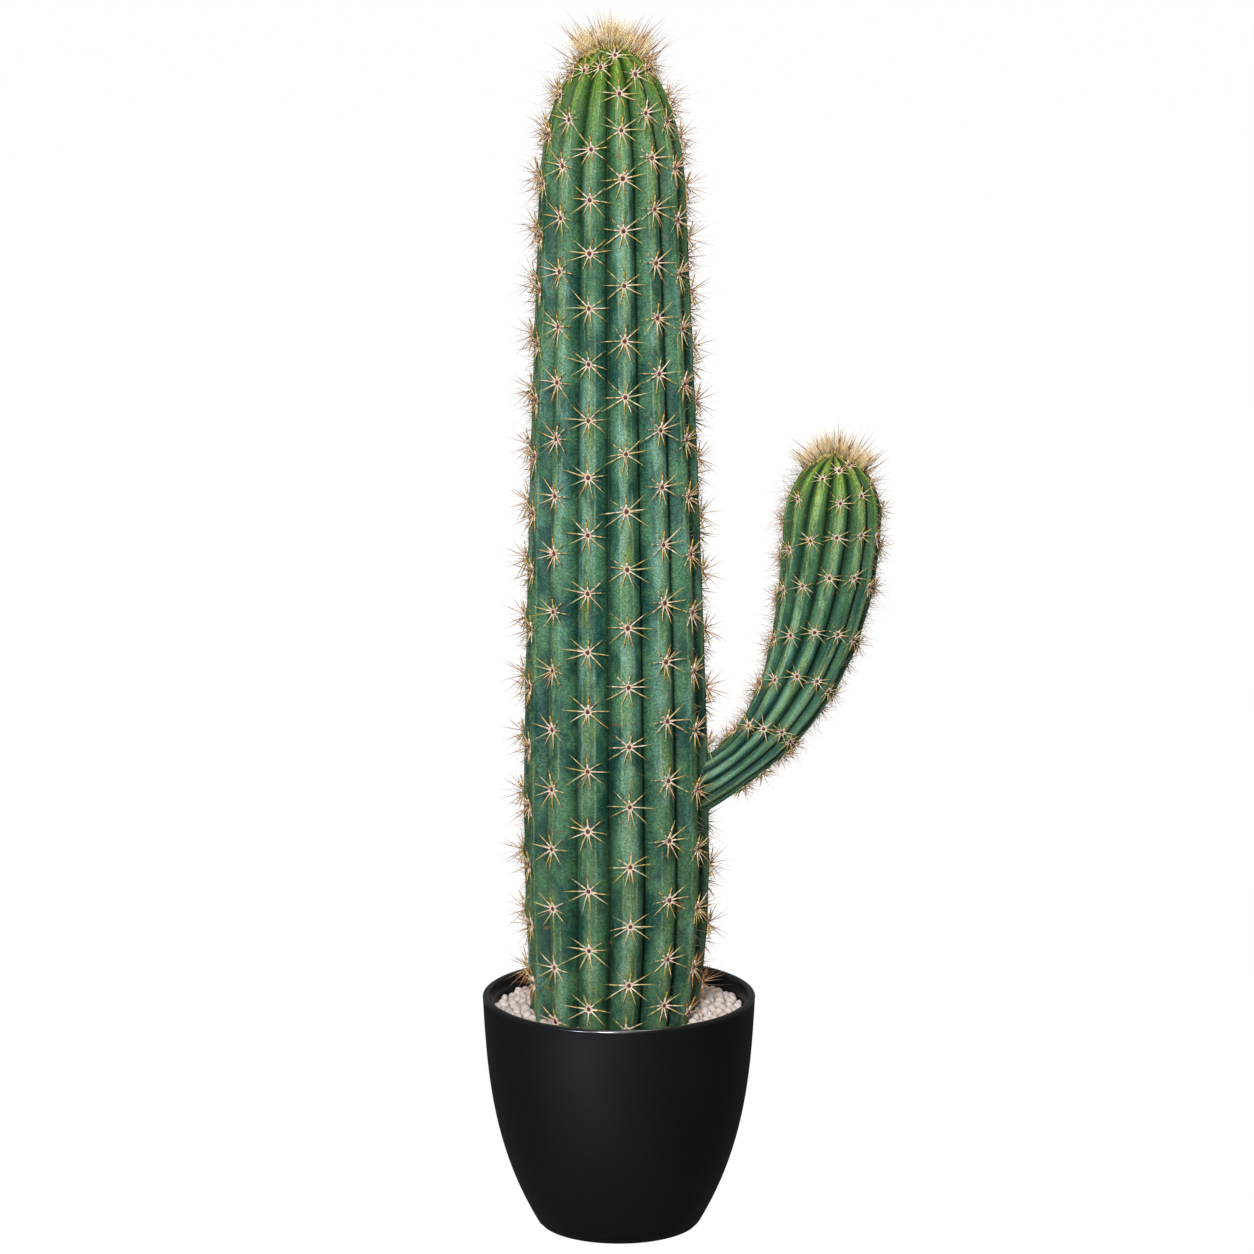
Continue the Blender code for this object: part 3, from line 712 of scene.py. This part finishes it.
def trunk_pads():
    """Angle and height of each pad, by the rule of the solids, with a half-buried row below theirs."""
    whole_rows = np.arange(-1, PAD_ROWS)
    row = whole_rows[None] + np.array(PAD_SHIFTS)[:, None]
    swell = PAD_SWELL * np.sin(pi * row / (PAD_ROWS - 1))
    crowding = PAD_CROWDING * (np.clip(row, 0, None) / (PAD_ROWS - 1)) ** PAD_CROWDING_POWER
    rise = np.array(LOW_PAD_RISES)[:, None] * (whole_rows < 0)
    height = (PAD_FIRST_Z + PAD_PITCH * row + swell - crowding + rise).ravel()
    rib = np.repeat(np.arange(TRUNK.ribs), len(whole_rows))
    crown = np.resize(TRUNK_CROWN_PADS, TRUNK.ribs)
    crowded = crown[rib] - height < CROWN_PAD_SPACING
    crowded[(rib == PAD_GAP[0]) & (np.tile(whole_rows, TRUNK.ribs) == PAD_GAP[1])] = True
    rib = np.concatenate((rib[~crowded], np.arange(TRUNK.ribs)))
    height = np.concatenate((height[~crowded], crown))
    angle = TRUNK.crest_angle(rib, height)
    buried = height < np.where(np.cos(angle) > FRONT, *LOWEST_PADS)
    clear = (outside_arm(TRUNK.point(angle, height)) > PAD_CLEAR) & ~buried
    return angle[clear], height[clear]


def arm_pads():
    """Angle and station of each pad; the rows lie level to the eye, so they dip round the leaning arm."""
    rib = np.repeat(np.arange(ARM.ribs), len(ARM_PADS))
    peak = np.tile(ARM_PADS, ARM.ribs)
    peak[len(ARM_PADS) - 1::len(ARM_PADS)] += ARM_TOP_SHIFTS
    along = peak
    for _ in range(4):
        along = peak - ARM_ROW_DIP * (1 - np.cos(ARM.crest_angle(rib, along) - ARM_ROW_PEAK))
    low_rib = np.repeat(np.arange(ARM.ribs), len(ARM_LOW_PADS))
    low = np.tile(ARM_LOW_PADS, ARM.ribs)
    under = np.sin(ARM.crest_angle(low_rib, low)) > ARM_UNDERSIDE
    roomy = np.flatnonzero(np.array(ARM_TOP_SHIFTS) < ARM_CROWN_ROOM)
    rib = np.concatenate((rib, low_rib[under], roomy))
    along = np.concatenate((along, low[under], np.full(len(roomy), ARM_CROWN_PADS)))
    places = np.column_stack((rib, along)) * ARM_SWAY_GRAIN
    sway = np.array([noise.noise(Vector((*place, 0.5))) for place in places])
    along = along + sway * ARM_PAD_SWAY
    angle = ARM.crest_angle(rib, along)
    clear = outside_trunk(ARM.point(angle, along)) > ARM_PAD_CLEAR
    return angle[clear], along[clear]


def build_skin(stem, pads, finish):
    """A closed, ribbed tube with mounds under its pads. Its attributes carry the way from crest (0) to
    valley (1), the young green below the crown, the nearness of a pad, and the place as if the stem were
    straight."""
    stations = stem.rows()
    columns, rows = stem.ribs * stem.mesh[0], len(stations)
    bm = bmesh.new()
    bmesh.ops.create_grid(bm, x_segments=columns, y_segments=rows, size=0.5)
    bm.verts.ensure_lookup_table()
    grid = np.array([vert.co[:2] for vert in bm.verts])
    column = np.round((grid[:, 0] + 0.5) * columns).astype(int) % columns
    row = np.round((grid[:, 1] + 0.5) * rows).astype(int)
    along = np.append(stations[:1], stations)[row]
    angle = stem.crest_angle(column / stem.mesh[0], along)
    place = np.abs(stem.section(angle, along))
    bare = stem.point(angle, along)
    near = np.full(len(bare), 1.0)
    for pad in stem.point(*pads):
        near = np.minimum(near, np.linalg.norm(bare - pad, axis=1))
    mound = np.exp(-(near / PAD_MOUND_SPREAD) ** 2)
    straight = np.column_stack((np.sin(angle) * TRUNK_SHOULDER, -np.cos(angle) * TRUNK_SHOULDER, along))
    relief = PAD_MOUND * mound
    for depth, grain in (SWELL_RELIEF, WRINKLE_RELIEF):
        relief += depth * np.array([noise.noise(Vector(spot) * grain) for spot in straight])
    relief *= np.clip(stem.crest(along) / RELIEF_FADES, 0, 1)
    points = stem.point(angle, along, relief)
    points[row == 0] = stem.centre(stations[:1])
    layers = [bm.verts.layers.float.new(name) for name in ("rib", "young", "pad")]
    straight_layer = bm.verts.layers.float_vector.new("straight")
    painted = np.column_stack((place, stem.youth(along), mound))
    for index, vert in enumerate(bm.verts):
        vert.co = points[index]
        for layer, value in zip(layers, painted[index]):
            vert[layer] = value
        vert[straight_layer] = straight[index]
    return finish_piece(f"{stem.name}_skin", mesh_from(closed(bm)), finish)


# Skin colours, in linear light
DARK_PATCH, PALE_PATCH = (0.014, 0.076, 0.056), (0.080, 0.212, 0.108)
# Bluish waxy bloom, partly the skin's own colour and partly painted sheen on the crests and flanks
BLUE_BLOOM_AND_SHEEN = (0.155, 0.345, 0.290)
YELLOW_STREAK = (0.190, 0.265, 0.026)
YOUNG_GREEN = (0.072, 0.166, 0.001)
# Painted highlights: the pale greens laid along the rib crests, down the stem and at its crown
CREST_HIGHLIGHT_GREENS = (0.250, 0.450, 0.250), (0.330, 0.500, 0.085)  # down the stem, and at its crown
# Pale ridge lines: partly the skin's own yellow-green line along each crest, partly painted highlight
RIDGE_LINE_AND_HIGHLIGHT_GREENS = (0.360, 0.440, 0.105), (0.400, 0.520, 0.150)
# Painted highlight: thin light lines along the rib edges, either side of the crest
RIM_HIGHLIGHT_GREEN = (0.300, 0.440, 0.230)
SHADE_GREEN = (0.008, 0.034, 0.014)
# Painted shade: the dark line down each valley's crease
CREASE_SHADE_GREEN = (0.003, 0.012, 0.008)
# Multiplied tints of painted shade: darker and browner towards the bottom of the stems, and darker at the
# arm's root
FOOT_SHADE_TINT, ROOT_SHADE_TINT = (0.70, 0.64, 0.52), (0.55, 0.60, 0.58)
SPECKLE_TINTS = (0.54, 0.58, 0.58), (1.60, 1.52, 1.58)
SCAR_BROWN = (0.210, 0.100, 0.030)
PAD_SHADE = (0.025, 0.055, 0.030)


def cactus_skin(name, crest_highlights, ridge_lines_and_highlights, shades, foot_shade):
    """Green skin, laid on coat by coat from the patches up. The numbers are how strongly the painted
    highlights on the crests, the pale ridge lines with their painted highlight, the painted shade on the
    flanks and the painted brownish shade towards the foot show."""
    finish = Finish(name, roughness=0.5, specular=0.28)
    place = finish.attribute("straight", "Vector")
    rib = finish.attribute("rib")
    young = finish.attribute("young")
    slant = finish.node("VectorRotate", {"Vector": place, "Angle": radians(38)}, rotation_type="X_AXIS")
    patches = finish.noise(place, 52.0, detail=5.0, roughness=0.62, stretch=(1, 1, 0.45))
    bloom = finish.noise(place, 60.0, detail=5.0, roughness=0.6, stretch=(1, 1, 0.30), shift=3.7)
    fine = finish.noise(slant, 900.0, detail=2.0, roughness=0.7, stretch=(1, 1, 0.5))
    streaks = finish.noise(place, 75.0, detail=5.0, roughness=0.65, stretch=(1, 1, 0.25), shift=8.1)
    flecks = finish.noise(place, 240.0, detail=2.0, shift=1.3)
    height = finish.node("SeparateXYZ", {0: finish.node("TexCoord", output="Object")}, output=2)
    # 0 at the arm's root, 1 further out; the whole trunk lies past it
    past_root = finish.step(finish.node("SeparateXYZ", {0: place}, output=2), 0.06, 0.18)

    # Painted highlight along each rib's crest, broken up by the bloom noise
    crest = finish.step(rib, 0.40, 0.27) * finish.step(bloom, 0.36, 0.58)
    # The thin line on the crest, partly the skin's own yellow-green and partly painted highlight; it fades
    # at the arm's root
    ridge_line_and_highlight = finish.step(rib, 0.13, 0.03) * finish.step(flecks * 0.5 + bloom * 0.5, 0.40, 0.56) * past_root
    # Painted highlight: two thin light lines on each rib, either side of the crest
    rim_highlight = finish.step(rib, 0.26, 0.32) * finish.step(rib, 0.40, 0.34) * finish.step(streaks, 0.40, 0.56)
    flank = finish.step(rib, 0.45, 1.0)
    coats = (
        # Bluish bloom on crests and flanks: partly the skin's own colour, partly painted sheen
        (finish.step(bloom, 0.49, 0.64) * finish.step(rib, 0.80, 0.30) * 0.76, BLUE_BLOOM_AND_SHEEN),
        (finish.step(streaks, 0.52, 0.66) * finish.step(rib, 0.70, 0.05) * 0.52, YELLOW_STREAK),
        (young, YOUNG_GREEN),
        (crest * crest_highlights, finish.mix(young, *CREST_HIGHLIGHT_GREENS)),
        (ridge_line_and_highlight * ridge_lines_and_highlights + ridge_line_and_highlight * young * 0.15, finish.mix(young, *RIDGE_LINE_AND_HIGHLIGHT_GREENS)),
        (rim_highlight * 0.42, RIM_HIGHLIGHT_GREEN),
        (flank * shades + flank * young * 0.62, SHADE_GREEN),
        # Painted shade darkening the bottom of every valley
        (finish.step(rib, 0.885, 0.975) * 0.78, CREASE_SHADE_GREEN),
        # Painted shade: the skin grows darker and browner towards the bottom
        (finish.step(height, 0.66, 0.20) * foot_shade, FOOT_SHADE_TINT, "MULTIPLY"),
        # Painted shade at the arm's root, where it joins the trunk
        ((1 - past_root) * 0.5, ROOT_SHADE_TINT, "MULTIPLY"),
        (1.0, finish.mix(finish.step(fine, 0.32, 0.70), *SPECKLE_TINTS), "MULTIPLY"),
        (finish.step(finish.noise(place, 130.0, detail=1.0, shift=5.5), 0.735, 0.76) * 0.7, SCAR_BROWN),
        (finish.attribute("pad") * 0.35, PAD_SHADE),
    )
    colour = finish.mix(finish.step(patches, 0.38, 0.64), DARK_PATCH, PALE_PATCH)
    for share, over, *blend in coats:
        colour = finish.mix(share, colour, over, *blend)
    finish.set("Base Color", colour)
    grain = {"Value": fine * 0.5 + bloom * 0.5, "From Min": 0.3, "From Max": 0.7}
    finish.set("Roughness", finish.node("MapRange", {**grain, "To Min": 0.36, "To Max": 0.60}))
    finish.bump(fine + patches * 1.5, 0.0008, 0.7)
    return finish


# Areoles: a ring of wool round a brown heart, with a star of spines


# Where every pad is, with its directions, its stem's number and its size
Areoles = namedtuple("Areoles", "spots up side out stem size")


def find_areoles(stems_and_pads):
    parts = []
    for number, (stem, (angle, along)) in enumerate(stems_and_pads):
        spots, up, side, out = stem.frames(angle, along)
        spots = spots + out * PAD_MOUND * PAD_MOUND_TOP
        youth = stem.youth(along)
        tilt = CROWN_STAR_TILT * youth
        up, out = turned_towards(up, out, tilt), turned_towards(out, -up, tilt)
        size = (ARM_STAR_SIZE if number else 1.0) * (1 - YOUNG_STAR_SHRINK * youth)
        parts.append((spots, up, side, out, np.full(len(angle), number), size))
    return Areoles(*map(np.concatenate, zip(*parts)))


def ring_pattern(around, section):
    """A ring one unit in radius, lying flat, with a round section."""
    bm = bmesh.new()
    bmesh.ops.create_circle(bm, segments=section, radius=WOOL_THICKNESS / WOOL_RADIUS)
    bmesh.ops.rotate(bm, verts=bm.verts, cent=(0, 0, 0), matrix=Matrix.Rotation(pi / 2, 3, "X"))
    bmesh.ops.translate(bm, verts=bm.verts, vec=(1, 0, 0))
    return spun(bm, around, 1e-5)


def placed_on(areoles, shapes):
    """Shapes given as (side, up, out) about each pad, in the model's frame."""
    return areoles.spots[:, None] + shapes @ np.stack((areoles.side, areoles.up, areoles.out), axis=1)


def build_pads(areoles):
    rng = np.random.default_rng(31)
    count = len(areoles.spots)
    ring = ring_pattern(12, 6)
    shape = pattern_points(ring) * WOOL_RADIUS
    turn = np.arctan2(shape[:, 1], shape[:, 0])
    wobble = 1 + WOOL_WOBBLE * np.sin(3 * turn + rng.uniform(0, tau, (count, 1)))
    ample = FIRM_WOOL + (1 - FIRM_WOOL) * areoles.size[:, None, None]
    size = ample * rng.uniform(*GIRTHS, (count, 1, 1)) * WOOL_PROPORTIONS
    rings = placed_on(areoles, shape * wobble[..., None] * size)
    # Painted shade: pads turned away from the front mostly get the darker brown wool
    aged = (areoles.out[:, 1] > -SHADE_PAINTED_FACING) & (rng.random(count) < SHADE_PAINTED_SHARE)
    for name, colour, chosen in (("fresh", FRESH_WOOL, ~aged), ("aged", SHADE_PAINTED_WOOL, aged)):
        wool = Finish(f"{name}_wool", colour, 0.9, specular=0.2)
        wool.bump(wool.noise(wool.node("TexCoord", output="Object"), 1600.0), 0.0008)
        finish_piece(f"{name}_wool", joined_mesh(ring, rings[chosen]), wool)
    heart = bmesh.new()
    bmesh.ops.create_uvsphere(heart, u_segments=8, v_segments=5, radius=HEART_RADIUS)
    dome = pattern_points(heart) * HEART_PROPORTIONS
    brown = Finish("areole_heart", HEART_BROWN, 0.8, specular=0.2)
    finish_piece("areole_hearts", joined_mesh(heart, placed_on(areoles, dome * ample)), brown)


def fan(areoles, rng, turn, lift, length, butt, tip, bend=0.05, spread=0.0, sway=5.0, kept=True):
    """A strand on each pad that keeps it and has room. Turn is from straight up and lift off the skin, in
    degrees."""
    count = len(areoles.spots)
    turn = np.radians(turn + rng.normal(0, sway, count))
    lift = np.radians(np.clip(lift + rng.normal(0, sway * 0.8, count), LEAST_LIFT, 90))
    flat = turned_towards(areoles.up, areoles.side, turn)
    ways = unit(turned_towards(flat, areoles.out, lift))
    bends = rng.normal(0, bend, (count, 3))
    lengths = length * areoles.size * rng.uniform(*LENGTHS, count)
    roots = areoles.spots + flat * (WOOL_RADIUS * spread * areoles.size)[:, None]
    thick = rng.uniform(*GIRTHS, count) * (FIRM_GIRTH + (1 - FIRM_GIRTH) * areoles.size)
    strands = Strands(roots, ways, bends, lengths, butt * thick, tip * thick)
    return strands.some(has_room(strands, areoles.stem) & kept)


def has_room(strands, stem_numbers):
    """Which strands keep their tips out of the other stem, the gravel and the planter's wall."""
    ends = strands.ends()
    x, y, z = ends.T
    other = np.where(stem_numbers == 0, outside_arm(ends), outside_trunk(ends))
    in_wall = (z < POT_HEIGHT) & (np.hypot(x, y) > GRAVEL_RADIUS - TIP_CLEAR * 2)
    return (other > TIP_CLEAR) & (z > GRAVEL_TOP + TIP_CLEAR) & ~in_wall


def deal(rng, count, shares):
    """Deals each strand one of the kinds, by their shares."""
    return rng.choice(np.array(list(shares), dtype=object), count, p=list(shares.values()))


def joined_rods(name, pattern, strands, finish, start=0.0, end=1.0):
    return finish_piece(name, joined_mesh(pattern, strands.points(pattern, start, end)), finish)


def two_toned(name, strands, foot, tip, split):
    joined_rods(f"{name}_foot", SHAFT, strands, foot, 0.0, split)
    joined_rods(f"{name}_tip", POINT, strands, tip, split)


SHAFT, POINT = rod_pattern(5, 2), rod_pattern(5, 2, pointed=True)


def build_spines(areoles):
    """Each spine is cut into three stretches, and each stretch is dealt to the piece with its colour."""
    rng = np.random.default_rng(41)
    groups = [
        fan(areoles, rng, turn, STAR_LIFT, length, STAR_BUTT * stout, STAR_TIP * stout, spread=1.0)
        for turn, length, stout in STAR
    ]
    groups += [
        fan(areoles, rng, turn, STAR_LIFT, *SHORT_RADIAL, spread=0.8, sway=9.0,
            kept=rng.random(len(areoles.spots)) < SHORT_RADIAL_SHARE)
        for turn in SHORT_RADIALS
    ]
    strands = gathered(*groups)
    count = len(strands.roots)
    finishes = {
        name: Finish(f"spine_{name}", tone, 0.5, specular=0.35) for name, tone in SPINE_TONES.items()
    }
    stretches = (
        ("foot", 0.0, 0.30, {"cream": 0.80, "green": 0.10, "tan": 0.10}),
        ("middle", 0.30, 0.70, {"tan": 0.56, "cream": 0.12, "gold": 0.22, "green": 0.10}),
        ("tip", 0.70, 1.0, {"tan": 0.26, "olive": 0.24, "gold": 0.34, "russet": 0.16}),
    )
    low = strands.roots[:, 2] < SHADED_BELOW
    at_side = np.abs(strands.roots[:, 0] - TRUNK_LEAN) > SHADED_ASIDE
    near_gravel = low & at_side & (rng.random(count) < SHADED_SHARE)
    uppermost = (strands.ways[:, 2] > UPRIGHT) & (rng.random(count) < UPRIGHT_SHARE)
    for stretch, start, end, shares in stretches:
        dealt = deal(rng, count, shares)
        if stretch != "foot":
            dealt[uppermost] = "russet" if stretch == "tip" else "gold"
            dealt[near_gravel] = "amber"
        pattern = POINT if stretch == "tip" else SHAFT
        for kind in sorted(set(dealt)):
            chosen = strands.some(dealt == kind)
            joined_rods(f"spines_{stretch}_{kind}", pattern, chosen, finishes[kind], start, end)
    build_central_spines(areoles, rng)


def build_central_spines(areoles, rng):
    """Slim brown spines that stand out of each pad, and the fine hairs that fan up and down among them."""
    strands = gathered(*(fan(areoles, rng, *way, *CENTRAL, spread=0.3, sway=9.0) for way in CENTRALS))
    strands = strands.some(off_the_front(strands.ways, rng))
    rosy = Finish("spine_rosy", ROSY_BROWN, 0.5, specular=0.3)
    brown = Finish("spine_brown", BROWN, 0.5, specular=0.3)
    two_toned("central_spines", strands, rosy, brown, CENTRAL_SPLIT)
    ways = [(turn, lift) for lift in HAIR_LIFTS for turn in (0, 180)]
    strands = gathered(*(fan(areoles, rng, *way, *HAIR, bend=0.20, spread=0.6, sway=22.0) for way in ways))
    strands = strands.some(off_the_front(strands.ways, rng))
    fringe = [crest_hairs(stem, rng, number) for number, stem in enumerate((TRUNK, ARM))]
    strands = gathered(strands, *fringe)
    strands = strands.some(strands.ends()[:, 0] < HAIRS_WITHIN)
    hair = rod_pattern(3, 3, pointed=True)
    dealt = deal(rng, len(strands.roots), {"dark": 0.45, "light": 0.55})
    for tone, colour in (("dark", HAIR_DARK), ("light", HAIR_LIGHT)):
        finish = Finish(f"hair_{tone}", colour, 0.6, specular=0.3)
        joined_rods(f"hairs_{tone}", hair, strands.some(dealt == tone), finish)


def off_the_front(ways, rng):
    """Which strands are left when most of those that face the front are gone."""
    facing = np.interp(-ways[:, 1], FACING, (0, 1))
    return rng.random(len(facing)) > BARE_FRONT * facing


def crest_hairs(stem, rng, number):
    """The thin fringe that grows along every rib between its pads."""
    start, pitch, length = CREST_HAIRS[number]
    stations = np.arange(start, stem.tip - pitch, pitch)
    rib = np.repeat(np.arange(stem.ribs), len(stations))
    along = np.tile(stations, stem.ribs) + rng.uniform(-pitch, pitch, len(rib)) / 2
    off_crest, tilt, aside, bend = CREST_HAIR_SPREAD
    angle = stem.crest_angle(rib, along) + rng.normal(0, off_crest, len(rib))
    spots, up, side, out = stem.frames(angle, along)
    tilt = rng.normal(0, tilt, len(rib))
    aside = rng.normal(0, aside, len(rib))
    ways = unit(turned_towards(out, up, tilt) + side * aside[:, None])
    lengths = length * rng.uniform(*CREST_HAIR_LENGTHS, len(rib)) * (1 + stem.youth(along))
    bends = rng.normal(0, bend, (len(rib), 3))
    butts, tips = (np.full(len(rib), HAIR[1] * girth) for girth in CREST_HAIR_GIRTHS)
    strands = Strands(spots, ways, bends, lengths, butts, tips)
    return strands.some(has_room(strands, number) & off_the_front(out, rng))


# Tufts on the crowns

BRISTLE_TONES = {
    "straw": ((1.00, 0.81, 0.47), 0.46),
    "cream": ((1.00, 0.92, 0.68), 0.34),
    "golden": ((0.88, 0.55, 0.22), 0.13),
    "russet": ((0.40, 0.17, 0.08), 0.07),
}
BRISTLE_FOOT = (0.62, 0.51, 0.19)
BRISTLE_FOOT_SHARE = 0.18
BRISTLE = (0.00042, 0.00012)  # radii at the butt and the tip
CROWN_SPINE = (0.00066, 0.00015)
CROWN_SPINE_FOOT = (0.50, 0.28, 0.15)
CROWN_SPINE_TIP = (0.34, 0.15, 0.08)
CROWN_SPINE_SPLIT = 0.4
CROWN_SPINE_ROOM = 0.3  # how much further out than bristles they grow, as a share of the spread
TUFT_CLUMPS = 95
CLUMP_SPREAD = (0.07, 0.10)  # how far from a clump's middle its bristles grow, outwards and to the sides
EDGE_SHORTER = 0.24  # how much shorter clumps are at the crown's edge
UNEVEN_WAYS, UNEVEN_BENDS, OUTWARD_BEND = 0.10, 0.09, 0.05
CLUMP_LENGTHS, BRISTLE_LENGTHS, CROWN_SPINE_LENGTHS = (0.80, 1.06), (0.62, 1.0), (0.7, 1.0)  # least and most
CLUMP_TILT, CROWN_SPINE_TILT = (1.0, 0.14), (1.1, 0.12)  # at the crown's edge, and how much it varies
TUFT_FRONT = 0.45  # how far forward roots come, as a share of the spread
TUFT_SINK = 0.0006  # how deep in the skin the roots lie


def crown_place(stem, radius):
    """The station at which a stem's crest has a radius, on its crown."""
    stations = np.linspace(stem.tip * 0.88, stem.tip, 400)
    return np.interp(-radius, -stem.crest(stations), stations)


def build_tuft(stem, spread, widest, height, count, long_count, long_length, seed):
    """Clumps of bristles on a crown, upright in the middle, splayed at the sides, with long stiff spines."""
    rng = np.random.default_rng(seed)

    def grown(turn, share, tilt, lengths, butt, tip):
        outward = np.stack((np.sin(turn), -np.cos(turn), np.zeros(len(turn))), axis=1)
        roots = stem.point(turn, crown_place(stem, share * spread), -TUFT_SINK)
        ways = unit(turned_towards(np.array((0.0, 0.0, 1.0)), outward, tilt))
        ways = unit(ways + rng.normal(0, UNEVEN_WAYS, ways.shape))
        bends = rng.normal(0, UNEVEN_BENDS, ways.shape) + outward * OUTWARD_BEND
        return Strands(roots, ways, bends, lengths, np.full(len(turn), butt), np.full(len(turn), tip))

    def scattered(number, reach):
        """Turns and shares of the spread for a number of roots; the front of the crown stays bare."""
        turn = rng.uniform(0, tau, number * 3)
        share = reach * np.sqrt(rng.uniform(0, 1, number * 3))
        bare = share * np.cos(turn) > TUFT_FRONT
        return turn[~bare][:number], share[~bare][:number]

    def tipped(share, most, sway):
        """How far strands tip outwards, in radians: more towards the edge of the crown."""
        return most * (1 - np.exp(-1.1 * share ** 1.5)) + rng.normal(0, sway, len(share))

    clump_turn, clump_share = scattered(TUFT_CLUMPS, widest)
    clump_tilt = tipped(clump_share, *CLUMP_TILT)
    clump_length = height * (1 - EDGE_SHORTER * np.clip(clump_share, 0, 1))
    clump_length *= rng.uniform(*CLUMP_LENGTHS, TUFT_CLUMPS)
    clump = rng.integers(0, TUFT_CLUMPS, count)
    share = np.abs(clump_share[clump] + rng.normal(0, CLUMP_SPREAD[0], count))
    turn = clump_turn[clump] + rng.normal(0, CLUMP_SPREAD[1], count) / np.clip(share, 0.3, None)
    lengths = clump_length[clump] * rng.uniform(*BRISTLE_LENGTHS, count)
    short = grown(turn, share, clump_tilt[clump], lengths, *BRISTLE)
    turn, share = scattered(long_count, widest + CROWN_SPINE_ROOM)
    tilt = tipped(share, *CROWN_SPINE_TILT)
    lengths = long_length * rng.uniform(*CROWN_SPINE_LENGTHS, long_count)
    long = grown(turn, share, tilt, lengths, *CROWN_SPINE)
    dealt = deal(rng, count, {name: share for name, (_, share) in BRISTLE_TONES.items()})
    hair = rod_pattern(4, 3, pointed=True)
    for name, (colour, _) in BRISTLE_TONES.items():
        finish = Finish(f"{stem.name}_bristle_{name}", colour, 0.6, 0.3)
        chosen = short.some(dealt == name)
        piece = joined_rods(f"{stem.name}_bristles_{name}", hair, chosen, finish, BRISTLE_FOOT_SHARE)
        if name == "straw":
            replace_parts(piece, f"{stem.name}_tuft")
    foot = Finish(f"{stem.name}_bristle_foot", BRISTLE_FOOT, 0.6, 0.3)
    joined_rods(f"{stem.name}_bristles_foot", rod_pattern(4, 1), short, foot, 0.0, BRISTLE_FOOT_SHARE)
    name = f"{stem.name}_crown_spine"
    foot, tip = Finish(f"{name}_foot", CROWN_SPINE_FOOT), Finish(f"{name}_tip", CROWN_SPINE_TIP)
    two_toned(f"{name}s", long, foot, tip, CROWN_SPINE_SPLIT)


# Camera, floor and light

CAMERA_PLACE = (0.0074, -5.0, 1.6226)
CAMERA_DOWN = radians(11.9946)
CAMERA_LENS = 162.24  # mm, on a sensor 36 mm wide
PLANT_MIDDLE = (0, 0, 0.6)
FLOOR_GLOW = 0.995
WORLD_STRENGTH = 0.085


def build_studio():
    camera = added("camera", bpy.data.cameras.new("camera"))
    camera.location = CAMERA_PLACE
    camera.rotation_euler = (pi / 2 - CAMERA_DOWN, 0.0, 0.0)
    camera.data.lens = CAMERA_LENS
    camera.data.sensor_width = 36.0
    bpy.context.scene.camera = camera
    bpy.context.scene.view_settings.view_transform = "Standard"

    bm = bmesh.new()
    bmesh.ops.create_grid(bm, x_segments=1, y_segments=1, size=40.0)
    floor = added("floor", mesh_from(bm))
    pale = Finish("pale_floor", (0.03, 0.03, 0.03), 1.0, specular=0.0)
    pale.set("Emission Color", (1.0, 1.0, 1.0, 1.0))
    pale.set("Emission Strength", FLOOR_GLOW)
    floor.data.materials.append(pale.material)
    floor.visible_diffuse = False
    floor.visible_glossy = False

    def softbox(name, place, width, height, power, aim=PLANT_MIDDLE, colour=(1, 1, 1), spread=180.0):
        light = bpy.data.lights.new(name, "AREA")
        light.shape = "RECTANGLE"
        light.size, light.size_y = width, height
        light.spread = radians(spread)
        light.energy = power
        light.color = colour
        lamp = added(name, light)
        lamp.location = place
        lamp.rotation_euler = (Vector(aim) - Vector(place)).to_track_quat("-Z", "Y").to_euler()
        return lamp

    softbox("key", (-0.90, -4.5, 2.3), 1.0, 1.0, 246.0)
    softbox("fill", (0.4, -4.8, 1.6), 1.2, 1.2, 14.0)
    softbox(
        "strip", (-1.40, -2.2, 0.30), 0.3, 0.5, 0.42, aim=(0, 0, 0.06), colour=(0.70, 0.80, 1.0), spread=16.0
    )
    softbox("top", (0.2, 0.0, 3.4), 2.2, 1.2, 44.0)
    back = softbox("back", (0.3, 4.6, 2.2), 1.2, 1.2, 110.0)
    back.visible_glossy = False
    world = bpy.data.worlds.new("studio")
    world.use_nodes = True
    sky = world.node_tree.nodes["Background"].inputs
    sky["Color"].default_value = (1.0, 1.0, 1.0, 1.0)
    sky["Strength"].default_value = WORLD_STRENGTH
    bpy.context.scene.world = world


def main():
    build_studio()
    build_planter()
    dress_soil()
    build_pebbles()
    on_trunk, on_arm = trunk_pads(), arm_pads()
    paint = cactus_skin("trunk_skin", crest_highlights=0.24, ridge_lines_and_highlights=0.30, shades=0.26, foot_shade=1.0)
    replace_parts(build_skin(TRUNK, on_trunk, paint), "trunk")
    paint = cactus_skin("arm_skin", crest_highlights=0.64, ridge_lines_and_highlights=0.52, shades=0.64, foot_shade=0.3)
    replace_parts(build_skin(ARM, on_arm, paint), "arm_lower", "arm_upper")
    areoles = find_areoles(((TRUNK, on_trunk), (ARM, on_arm)))
    build_pads(areoles)
    build_spines(areoles)
    build_tuft(
        TRUNK, spread=0.022, widest=1.22, height=0.039, count=1150, long_count=60, long_length=0.044, seed=51
    )
    build_tuft(
        ARM, spread=0.017, widest=1.55, height=0.033, count=950, long_count=40, long_length=0.037, seed=52
    )


main()
